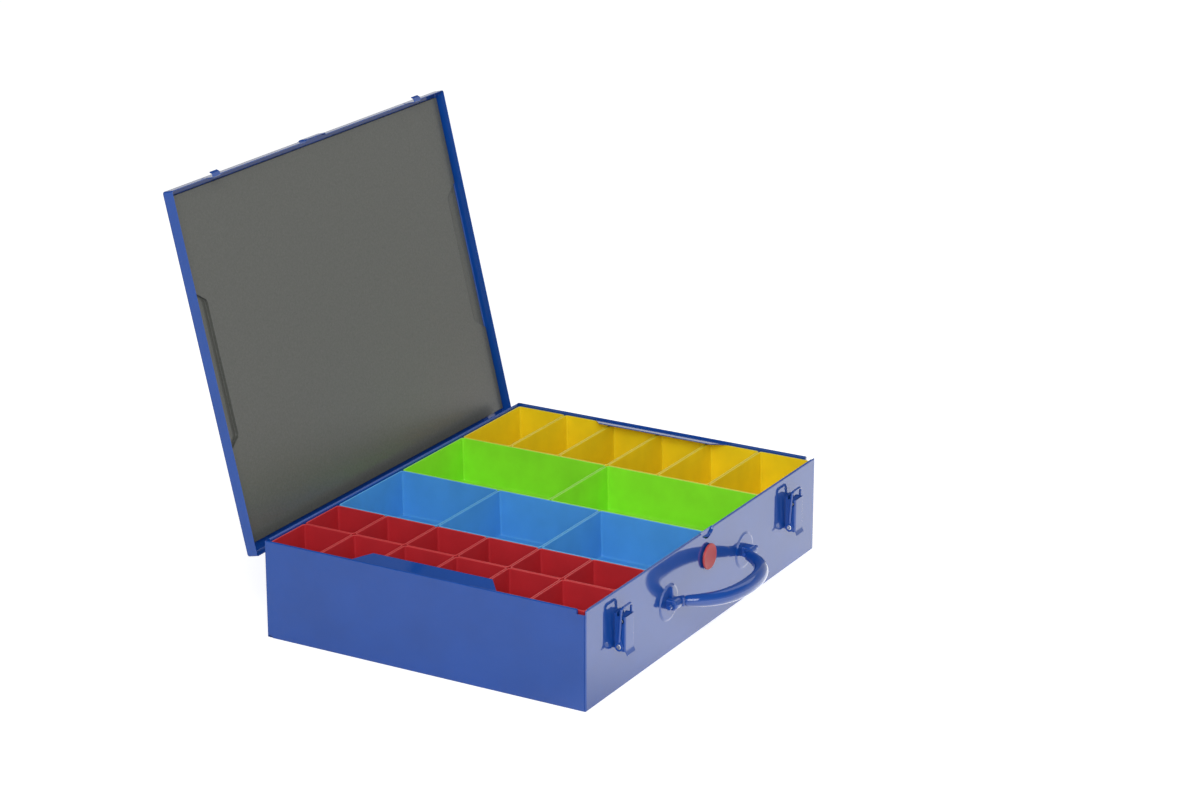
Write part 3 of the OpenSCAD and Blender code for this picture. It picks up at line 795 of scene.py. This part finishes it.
def tray_pan():
    """The folded pan with its hemmed rim, with the thumb dish pressed into its front wall."""
    half = DISH_W / 2 + EDGE
    columns = spaced(-half, half, DISH_COLUMNS)
    rings = []
    for inset, z in tray_section():
        corner = max(CORNER_R - inset, EDGE)
        points = ring(CASE_W - 2 * inset, CASE_D - 2 * inset, corner, z, front_xs=columns)
        share = max(0, 1 - inset / HEM_T)
        if z > RIM - HEM_H - SHEET and inset < HEM_T:
            points = [(x, y + share * dish_depth(x, z) if y < -CASE_D / 2 + inset + WELD else y, z)
                      for x, y, z in points]
        rings.append(points)
    bm = bmesh.new()
    loft(bm, rings)
    return new_piece("tray_pan", bm)


def tray_cutters():
    """The hems' corner gaps, the notches and reliefs, the open seams, and the front wall's slot and hole."""
    half = CASE_W / 2
    gaps, notches, seams, holes = [bmesh.new() for _ in range(4)]
    for _, side in SIDES:
        xs = sorted((side * (half - HEM_STOP), side * (half - SHEET)))
        for wall, length, stop in ((FRONT, NOTCH_L, SHEET), (BACK, -HEM_STOP, -SHEET)):
            ys = sorted((wall + stop, wall + length))
            block(gaps, (xs[0], ys[0], RIM - HEM_H - OVER), (xs[1], ys[1], RIM + OVER))
        xs = sorted((side * (half - SHEET - OVER), side * (half + OVER)))
        block(notches, (xs[0], FRONT + SHEET, RIM - NOTCH_H), (xs[1], FRONT + NOTCH_L, RIM + 2 * OVER))
        block(notches, (xs[0], BACK - SHEET - RELIEF_L, -OVER), (xs[1], BACK - SHEET, RELIEF_H))
        xs = sorted((side * (half - SEAM_IN), side * (half + OVER)))
        block(seams, (xs[0], FRONT + SHEET, BEND_R), (xs[1], FRONT + SHEET + SEAM_W, RIM - NOTCH_H + OVER))
    turns = [math.radians(a) for a in spaced(-60, 60, 12)]
    low = RIM - DISH_H - SLOT_DROP
    slot = [(SLOT_W / 2 * math.sin(turn), low + SLOT_CURVE - SLOT_CURVE * math.cos(turn)) for turn in turns]
    prism(holes, strip(slot, -SLOT_H), -OVER, HEM_T + OVER, into_front)
    prism(holes, circle((0, BUTTON_Z), STEM_HOLE_R), -OVER, HEM_T, into_front)
    return [new_piece("tray_cutter", bm) for bm in (gaps, notches, seams, holes)]


def side_tabs():
    """Tabs that leave the side walls' hems below the rim and rise inwards over the boxes."""
    root = HEM_T - TAB_SINK
    foot = (SHEET - root) * math.tan(TAB_RISE) + TAB_DROP
    reach = SHEET + TAB_REACH * math.cos(TAB_RISE)
    line = [(root, RIM - TAB_TOP), (root, RIM - foot), (reach, RIM + TAB_UP)]
    outline = strip(filleted(line, TAB_BEND, 5, closed=False), -SHEET)
    bm = bmesh.new()
    for _, side in SIDES:
        def place(inset, z, end):
            share = min(1, max(0, (inset - root) / (reach - root)))
            half = (TAB_ROOT + (TAB_EDGE - TAB_ROOT) * share) / 2
            return (side * (CASE_W / 2 - inset), end * half, z)

        prism(bm, outline, -1, 1, place)
    return eased(new_piece("side_tabs", bm))


def make_tray():
    pan = eased(cut(tray_pan(), tray_cutters()))
    dress(joined("tray_sheet", [pan, side_tabs()]), "tray")


# Boxes

def moulded_box(node):
    """Thin drafted box with a lip round its rim, a filleted floor and a recessed underside."""
    low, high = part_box(node)
    w, d = high.x - low.x, high.y - low.y
    middle = ((low.x + high.x) / 2, (low.y + high.y) / 2)
    top, bottom = high.z, low.z
    lip_z = top - BOX_LIP_H
    base = BOX_LIP + BOX_DRAFT
    foot = base + BOX_FOOT_R
    rim = BOX_RIM_R
    floor_r = BOX_FLOOR_R
    section = [(foot + BOX_RECESS_HIGH, bottom + BOX_RECESS_H), (foot + BOX_RECESS_LOW, bottom)]
    section += arc((foot, bottom + BOX_FOOT_R), BOX_FOOT_R, 270, 180, 5)
    section += [(BOX_LIP + BOX_DRAFT * BOX_LIP_H / (top - bottom), lip_z)]
    section += [(BOX_LIP * share, lip_z + up) for share, up in BOX_LIP_CURVE]
    section += arc((rim, top - rim), rim, 180, 90, 3)
    section += arc((BOX_WALL - rim, top - rim), rim, 90, 0, 3)
    section += arc((base + BOX_WALL + floor_r, bottom + BOX_FLOOR + floor_r), floor_r, 180, 270, 6)
    bm = bmesh.new()
    loft(bm, [ring(w - 2 * i, d - 2 * i, max(BOX_R - BOX_R_LOSS * i, BOX_R_MIN), z, middle, steps=8)
              for i, z in section])
    dress(eased(new_piece(f"{node}_moulded", bm, slot_of(node)), 0), node)


# Lid

def turned(piece):
    """Turns a piece of the closed lid to the open place."""
    turn = Matrix.Rotation(-LID_OPEN, 4, "X")
    piece.data.transform(Matrix.Translation(HINGE) @ turn @ Matrix.Translation(-HINGE))
    return piece


def lid_pan():
    """Shallow pan with rounded bends, and a bump pressed out of the middle of its front flange."""
    inner = LID_BEND - SHEET
    heights = spaced(LID_TOP, SKIRT_Z, 8)[1:-1]
    section = arc((SHEET + inner, LID_UNDER - inner), inner, 90, 180, 5)
    section += [(SHEET, z) for z in heights if z < LID_UNDER - inner]
    section += [(SHEET, SKIRT_Z + SKIRT_EDGE_UP), (SHEET - SKIRT_EDGE_IN, SKIRT_Z)]
    section += [(SKIRT_EDGE_IN, SKIRT_Z), (0, SKIRT_Z + SKIRT_EDGE_UP)]
    section += [(0, z) for z in heights[::-1] if z < LID_TOP - LID_BEND]
    section += arc((LID_BEND, LID_TOP - LID_BEND), LID_BEND, 180, 90, 5)
    half = BUMP_W / 2 + BUMP_MARGIN
    columns = spaced(-half, half, BUMP_COLUMNS)
    length = LID_REAR - LID_FRONT
    middle = (0, (LID_REAR + LID_FRONT) / 2)

    def bulge(x, z):
        """How far the bump stands out at a place of the front flange."""
        rise = smooth((LID_TOP - BUMP_TOP - z) / BUMP_RISE)
        return BUMP_OUT * rise * smooth((BUMP_W / 2 + BUMP_PAST - abs(x)) / BUMP_SLOPE)

    rings = []
    for inset, z in section:
        corner = max(CORNER_R + LID_FIT - inset, LID_CORNER_MIN)
        points = ring(LID_W - 2 * inset, length - 2 * inset, corner, z, middle, columns)
        rings.append([(x, y - bulge(x, z) if y < LID_FRONT + inset + WELD else y, z) for x, y, z in points])
    bm = bmesh.new()
    loft(bm, rings)
    return new_piece("lid_pan", bm)


def lid_hooks():
    """Hooks lanced out of the front flange for the latches' loops."""
    under = BAR_Z - WIRE_R - PIN_FIT - SHEET
    out = LID_FIT + SHEET + HOOK_FLOOR
    tip = (out + HOOK_LIP * math.cos(HOOK_ANGLE), under + HOOK_LIP * math.sin(HOOK_ANGLE))
    line = [(LID_FIT, SKIRT_Z + SKIRT_LAP), (LID_FIT, under, HOOK_ROOT_R), (out, under, HOOK_TIP_R), tip]
    outline = strip(filleted(line, 0, 5, closed=False), SHEET)
    bm = bmesh.new()
    for _, side in SIDES:
        middle = side * LATCH_X
        prism(bm, outline, middle - HOOK_W / 2, middle + HOOK_W / 2, on_front)
    return eased(new_piece("lid_hooks", bm))


def lid_knuckles():
    """Every other knuckle along the hinge, rolled out of the rear flange."""
    outer = LID_REAR - HINGE.y
    pitch = HINGE_L / KNUCKLES
    half = (pitch - KNUCKLE_GAP) / 2
    line = [(outer, SKIRT_Z + SKIRT_LAP - HINGE.z), (outer, 0)]
    line += arc((0, 0), outer, 0, -KNUCKLE_ROLL, 40)[1:]
    bm = bmesh.new()
    prism(bm, strip(line, SHEET), -half, half, lambda a, b, c: (c, HINGE.y + a, HINGE.z + b))
    first = eased(new_piece("lid_knuckle", bm), FINE_EDGE)
    first.data.transform(Matrix.Translation((1.5 * pitch - HINGE_L / 2, 0, 0)))
    return grown(first, ROW, "lid_knuckles", Count=KNUCKLES // 2, Pitch=2 * pitch)


def rear_apron():
    """The strip of the rear flange that comes down to the knuckles."""
    bm = bmesh.new()
    low = (-HINGE_L / 2, LID_REAR - SHEET, HINGE.z + APRON_UP)
    block(bm, low, (HINGE_L / 2, LID_REAR, SKIRT_Z + SKIRT_LAP))
    return eased(new_piece("rear_apron", bm), FINE_EDGE)


def make_lid():
    bm = bmesh.new()
    for _, side in SIDES:
        x = side * LATCH_X - HOOK_W / 2 - LANCE_W
        z = SKIRT_Z + LANCE_H
        block(bm, (x, LID_FRONT - OVER, z), (x + LANCE_W, LID_FRONT + SHEET + OVER, z + LANCE_H))
    pan = eased(cut(lid_pan(), [new_piece("lance_cutter", bm)]), FINE_EDGE)
    pieces = [pan, lid_hooks(), lid_knuckles(), rear_apron()]
    dress(turned(joined("lid_sheet", pieces)), "lid_shell")


def make_liner():
    """Foam sheet with soft edges and a recess over each side tab."""
    half = LID_W / 2 - SHEET - LINER_SIDE
    front, rear = LID_FRONT + SHEET + LINER_FRONT, HINGE.y - LINER_REAR
    under = LID_UNDER - LINER_T
    bm = bmesh.new()
    corners = [(-half, front), (half, front), (half, rear), (-half, rear)]
    prism(bm, filleted(corners, LINER_R, 4), under, LID_UNDER, as_z)
    sheet = new_piece("lid_foam", bm, "liner_grey")
    bm = bmesh.new()
    root, edge = TAB_ROOT / 2 + RECESS_FIT, TAB_EDGE / 2 + RECESS_FIT
    near, far = CASE_W / 2 - SHEET - TAB_REACH - RECESS_FIT, CASE_W / 2 + RECESS_FIT
    for _, side in SIDES:
        inner, outer = side * near, side * far
        outline = [(inner, -edge, RECESS_R), (outer, -root), (outer, root), (inner, edge, RECESS_R)]
        prism(bm, filleted(outline, 0), under - OVER, LID_UNDER - RECESS_LEFT, as_z)
    for vertex in bm.verts:
        if vertex.co.z > under:
            vertex.co.z -= (abs(vertex.co.x) - near) * math.tan(RECESS_SLOPE)
    cut(sheet, [new_piece("recess_cutter", bm, "liner_grey")])
    dress(turned(eased(sheet, LINER_EDGE, 3)), "lid_liner")


# Latches

def lever_shell(x):
    """The lever's pressed channel, with its sides cut to their stepped profile."""
    half = LEVER_W / 2
    channel = [(-half, SIDE_FOOT), (-half, LEVER_D), (half, LEVER_D), (half, SIDE_FOOT)]
    bm = bmesh.new()
    prism(bm, strip(filleted(channel, LEVER_R, closed=False), -LEVER_T), LEVER_Z, LEVER_TOP,
          lambda a, b, c: (x + a, FRONT - b, c))
    shell = new_piece("lever_channel", bm)
    past, step_z = LEVER_D + OVER, LEVER_Z + SIDE_STEP
    profile = [(past, LEVER_Z), (SIDE_FOOT, LEVER_Z, SIDE_FOOT_R), (SIDE_FOOT, step_z, SIDE_STEP_R),
               (SIDE_HIGH, step_z + SIDE_RISE, SIDE_STEP_R), (SIDE_HIGH, LEVER_TOP, LEVER_R),
               (past, LEVER_TOP)]
    bm = bmesh.new()
    prism(bm, filleted(profile, 0), x - LEVER_W, x + LEVER_W, on_front)
    return eased(cut(shell, [new_piece("lever_profile", bm)], "INTERSECT"))


def lever_details(x):
    """The lever's curled thumb lip, arched head and pivot lugs."""
    half = LEVER_W / 2
    bm = bmesh.new()
    face = LEVER_D - LIP_SINK
    lip = [(face, LEVER_Z + LIP_UP), (face, LEVER_Z + LIP_BEND_UP), (LEVER_D + LIP_OUT, LEVER_Z - LIP_DOWN)]
    lip = strip(filleted(lip, LIP_BEND_R, 8, closed=False), -LIP_T)
    prism(bm, lip, x - half + LIP_SIDE, x + half - LIP_SIDE, on_front)
    tongue = half - 2 * LEVER_T
    arch = [(tongue * share, ARCH_D + ARCH_DEPTH * share ** 2) for share in spaced(-1, 1, 12)]
    arch += [(tongue, LEVER_D - ARCH_SINK), (-tongue, LEVER_D - ARCH_SINK)]
    prism(bm, arch, LEVER_TOP - ARCH_T, LEVER_TOP, lambda a, b, c: (x + a, FRONT - b, c))
    for low in (x - half, x + half - LEVER_T):
        prism(bm, circle((PIVOT_D, PIVOT_Z), LUG_R), low, low + LEVER_T, on_front)
    return eased(new_piece("lever_details", bm))


def make_lever(name, side):
    pieces = [lever_shell(side * LATCH_X), lever_details(side * LATCH_X)]
    dress(joined(f"latch_lever_{name}_formed", pieces), f"latch_lever_{name}")


def make_loop(name, side):
    """Wire loop with rounded bends, and an eye flattened out of each leg's end."""
    lean = math.atan2(BAR_D - LOOP_PIN_D, BAR_Z - LOOP_PIN_Z)
    height = math.hypot(BAR_D - LOOP_PIN_D, BAR_Z - LOOP_PIN_Z)
    origin = Vector((side * LATCH_X, FRONT - LOOP_PIN_D, LOOP_PIN_Z))

    def place(x, out, up):
        """A place in the leaning loop's own frame, whose origin is the pin."""
        return origin + Vector((x, -out * math.cos(lean) - up * math.sin(lean),
                                up * math.cos(lean) - out * math.sin(lean)))

    bend = LOOP_BEND
    right = [(LEG_X, up) for up in spaced(EYE_NECK - EYE_LAP, height - bend, 6)[:-1]]
    right += arc((LEG_X - bend, height - bend), bend, 0, 90, 8)
    line = right + [(-x, up) for x, up in right[::-1]]
    path = path_curve([place(x, 0, up) for x, up in line], [WIRE_R] * len(line))
    wire = eased(grown(path, ROD, "loop_wire", Sides=20), 0)
    outline = arc((0, 0), EYE_R, 160, 380, 22) + [(WIRE_R, EYE_NECK + EYE_LAP), (-WIRE_R, EYE_NECK + EYE_LAP)]
    bm = bmesh.new()
    for m in (-1, 1):
        inner = m * (LEG_X - WIRE_R)
        prism(bm, outline, *sorted((inner, inner + m * EYE_T)), lambda a, b, c: place(c, a, b))
    eyes = eased(new_piece("loop_eyes", bm), EYE_EDGE, 3)
    dress(joined(f"latch_loop_{name}_formed", [wire, eyes]), f"latch_loop_{name}")


def make_loop_pin(name, side):
    """Riveted pin with a dished head at each end."""
    low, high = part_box(f"loop_pin_{name}")
    head_r = (high.z - low.z) / 2
    half = (high.x - low.x) / 2
    middle = Vector((side * LATCH_X, FRONT - LOOP_PIN_D, LOOP_PIN_Z))
    section = [(head_r * share, depth - half) for share, depth in PIN_HEAD]
    section += [(PIN_SHANK_R, PIN_HEAD_T - half)]
    section += [(r, -h) for r, h in section[::-1]]
    bm = bmesh.new()
    lathe(bm, section, lambda a, b, c: middle + Vector((c, a, b)), 40)
    dress(eased(new_piece(f"loop_pin_{name}_turned", bm, "steel"), 0), f"loop_pin_{name}")


# Handle

def grip_line():
    """Middle line of the grip from right to left, as (across, out from the pivots)."""
    x = HANDLE_W / 2 - NECK_L
    pull = Vector((-math.cos(RISE_ANGLE), math.sin(RISE_ANGLE))) * NEAR_PULL
    a = Vector((x, NECK_OUT))
    b, c, d = a + pull, Vector((FAR_PULL, REACH)), Vector((0, REACH))
    half = []
    for t in spaced(0, 1, GRIP_POINTS // 2)[:-1]:
        half.append((1 - t) ** 3 * a + 3 * t * (1 - t) ** 2 * b + 3 * t * t * (1 - t) * c + t ** 3 * d)
    return half + [d] + [Vector((-p.x, p.y)) for p in half[::-1]]


def grip_radius(x):
    """The grip's radius, which swells from its ends to its middle."""
    share = math.cos(math.pi / 2 * min(1, abs(x) / (HANDLE_W / 2 - NECK_L)))
    return GRIP_END_R + (GRIP_MID_R - GRIP_END_R) * max(0, share) ** SWELL


def bracket_disc(x):
    """The bracket's round base, with a soft domed rim."""
    section = [(0, 0), (DISC_R, 0)]
    section += [(DISC_R - DISC_RIM * share, DISC_T * (DISC_EDGE + (1 - DISC_EDGE) * smooth(share)))
                for share in spaced(0, 1, 6)]
    bm = bmesh.new()
    lathe(bm, section + [(0, DISC_T)], lambda a, b, c: (x + a, FRONT - c, HANDLE_Z + b), 96)
    return bm


def make_bracket(name, side):
    """Round base with a boss that holds the pivot rod; the left one has an ear that stands up from it."""
    x = side * HANDLE_W / 2
    flat = BOSS_L / 2 - BOSS_END
    half = [(across, BOSS_R) for across in spaced(0, flat, 4)[:-1]]
    half += arc((flat, BOSS_R - BOSS_END), BOSS_END, 90, 0, 5)
    rings = []
    for across, radius in [(-across, radius) for across, radius in half[:0:-1]] + half:
        profile = [(0, -radius)] + arc((HANDLE_D, 0), radius, -90, 90, 16) + [(0, radius)]
        rings.append([(x + across, FRONT - a, HANDLE_Z + b) for a, b in profile])
    bm = bracket_disc(x)
    loft(bm, rings)
    boss = new_piece("bracket_boss", bm)
    bm = bmesh.new()
    prism(bm, circle((HANDLE_D, HANDLE_Z), ROD_R + PIN_FIT), x - BOSS_L, x + BOSS_L, on_front)
    pieces = [eased(cut(boss, [new_piece("rod_cutter", bm)]))]
    if side < 0:
        ear = [(0, 0), (0, EAR_H), (EAR_REACH, EAR_H, EAR_R), (EAR_REACH + EAR_LEAN, BOSS_R), (HANDLE_D, 0)]
        bm = bmesh.new()
        prism(bm, [(a, HANDLE_Z + b) for a, b in filleted(ear, 0)], x, x + EAR_T, on_front)
        pieces.append(eased(new_piece("bracket_ear", bm), EAR_EDGE, 3))
    dress(joined(f"handle_bracket_{name}_formed", pieces), f"handle_bracket_{name}")


def make_grip():
    """The grip with rounded ends, swept along its line."""
    line = grip_line()
    first, step = line[0], (line[1] - line[0]).normalized()
    ends = [(first + step * (GRIP_ROUND + out), GRIP_END_R - GRIP_ROUND + up)
            for out, up in arc((0, 0), GRIP_ROUND, 180, 120, 2)]
    middle = [(p, grip_radius(p.x)) for p in line[1:-1]]
    whole = ends + middle + [(Vector((-p.x, p.y)), r) for p, r in ends[::-1]]
    path = path_curve([(p.x, FRONT - HANDLE_D - p.y, HANDLE_Z) for p, _ in whole], [r for _, r in whole])
    dress(eased(grown(path, ROD, "handle_grip_moulded", Sides=48), 0), "handle_grip")


# Button

def make_button():
    """Cap with a shallow dish in its face, on its stem."""
    face, end = FRONT - button_low.y, FRONT - button_high.y
    back = face - BUTTON_T
    section = [(BUTTON_R * share, face - depth) for share, depth in BUTTON_DISH]
    section += arc((BUTTON_R - BUTTON_ROUND, face - BUTTON_ROUND), BUTTON_ROUND, 90, 0, 6)
    section += [(BUTTON_R, back + BUTTON_EDGE), (BUTTON_R - BUTTON_EDGE, back), (STEM_R, back)]
    section += [(STEM_R, end), (0, end)]
    bm = bmesh.new()
    lathe(bm, section, lambda a, b, c: (a, FRONT - c, BUTTON_Z + b), 72)
    dress(eased(new_piece("push_button_turned", bm, "button_red"), 0), "push_button")


# Stage

def light_path(nodes, links, seen, mirrored, diffuse):
    """One value for the camera and glass, one for mirrors and one for light; each is a number or a socket."""
    path = nodes.new("ShaderNodeLightPath")
    value = diffuse
    for ray, other in (("Is Glossy Ray", mirrored), ("Is Transmission Ray", seen), ("Is Camera Ray", seen)):
        mix = nodes.new("ShaderNodeMix")
        links.new(path.outputs[ray], mix.inputs["Factor"])
        feed(links, mix.inputs["A"], value)
        feed(links, mix.inputs["B"], other)
        value = mix.outputs["Result"]
    return value


def make_sky():
    """White sky, which darkens upwards in reflections."""
    world = bpy.data.worlds.new("studio")
    bpy.context.scene.world = world
    world.use_nodes = True
    nodes, links = world.node_tree.nodes, world.node_tree.links
    place = nodes.new("ShaderNodeTexCoord")
    height = nodes.new("ShaderNodeSeparateXYZ")
    links.new(place.outputs["Generated"], height.inputs["Vector"])
    fade = mapped(nodes, links, height.outputs["Z"], SKY_HEIGHTS + SKY_IN_GLOSS)
    links.new(light_path(nodes, links, 1.0, fade, SKY_LIGHT), nodes["Background"].inputs["Strength"])
    nodes["Background"].inputs["Color"].default_value = (1, 1, 1, 1)


def make_floor():
    """White floor, which keeps the object's shadow. In reflections it glows with painted light: brighter to the
    front right, and darker behind and on the left as painted shade.
    """
    bm = bmesh.new()
    corners = ((-1, -1), (1, -1), (1, 1), (-1, 1))
    bm.faces.new([bm.verts.new((x * FLOOR_HALF, y * FLOOR_HALF, 0)) for x, y in corners])
    mesh = bpy.data.meshes.new("floor")
    bm.to_mesh(mesh)
    bm.free()
    floor = bpy.data.objects.new("floor", mesh)
    bpy.context.scene.collection.objects.link(floor)
    material, nodes, links, shader, place = new_material(
        "floor_white", Base_Color=(0.85, 0.85, 0.85, 1), Roughness=0.9, Specular_IOR_Level=0.1,
        Emission_Color=(1, 1, 1, 1))
    across = nodes.new("ShaderNodeVectorMath")
    across.operation = "DOT_PRODUCT"
    across.inputs[1].default_value = (math.sqrt(0.5), -math.sqrt(0.5), 0)
    links.new(place, across.inputs[0])
    # Painted light seen only in reflections: a glow strong towards the front right, and weak behind and on the
    # left as painted shade
    near = mapped(nodes, links, across.outputs["Value"], FLOOR_NEAR, "SMOOTHSTEP")
    far = mapped(nodes, links, across.outputs["Value"], FLOOR_FAR)
    along = nodes.new("ShaderNodeSeparateXYZ")
    links.new(place, along.inputs["Vector"])
    dim = mapped(nodes, links, along.outputs["X"], FLOOR_DIM)
    mirrored = combined(nodes, links, "MULTIPLY", combined(nodes, links, "ADD", near, far), dim)
    links.new(light_path(nodes, links, FLOOR_WHITE, mirrored, 0.0), shader.inputs["Emission Strength"])
    mesh.materials.append(material)


def make_lamp(name, place, size, power):
    data = bpy.data.lights.new(name, "AREA")
    data.shape = "SQUARE"
    data.size = size
    data.energy = power
    lamp = bpy.data.objects.new(name, data)
    bpy.context.scene.collection.objects.link(lamp)
    lamp.location = place
    lamp.rotation_euler = (LAMP_AIM - Vector(place)).to_track_quat("-Z", "Y").to_euler()


def make_camera():
    """The photograph's view, from its azimuth, height and distance."""
    level = math.cos(CAMERA_EL)
    back = Vector((math.sin(CAMERA_AZ) * level, -math.cos(CAMERA_AZ) * level, math.sin(CAMERA_EL)))
    right = (-back).cross(Vector((0, 0, 1))).normalized()
    down = (-back).cross(right)
    turn_right = math.cos(CAMERA_ROLL) * right + math.sin(CAMERA_ROLL) * down
    turn_down = -math.sin(CAMERA_ROLL) * right + math.cos(CAMERA_ROLL) * down
    place = -(CAMERA_AIM[0] * turn_right + CAMERA_AIM[1] * turn_down - CAMERA_DIST * back)
    data = bpy.data.cameras.new("camera")
    data.sensor_width = SENSOR_W
    data.lens = SENSOR_W * FOCAL_PX / PHOTO_W
    data.clip_end = 100
    camera = bpy.data.objects.new("camera", data)
    bpy.context.scene.collection.objects.link(camera)
    axes = Matrix((turn_right, -turn_down, back)).transposed()
    camera.matrix_world = Matrix.Translation(place) @ axes.to_4x4()
    bpy.context.scene.camera = camera


make_camera()
make_sky()
make_floor()
for lamp in LAMPS:
    make_lamp(*lamp)

make_tray()
for node in frame["nodes"]:
    if "_box_" in node:
        moulded_box(node)
make_lid()
make_liner()
for name, side in SIDES:
    make_lever(name, side)
    make_loop(name, side)
    make_loop_pin(name, side)
    softened(f"latch_base_{name}", 0.25 * MM)
    softened(f"lever_pin_{name}", FINE_EDGE)
    make_bracket(name, side)
make_grip()
softened("handle_core", 0.3 * MM)
make_button()
softened("false_floor", 0.3 * MM)
softened("hinge_leaf", FINE_EDGE)
softened("hinge_pin", EDGE)
softened("latch_rivets", 0.25 * MM)
softened("button_washer", 0.05 * MM)
softened("button_clip", 0.08 * MM)

bpy.context.scene.view_settings.view_transform = "Standard"
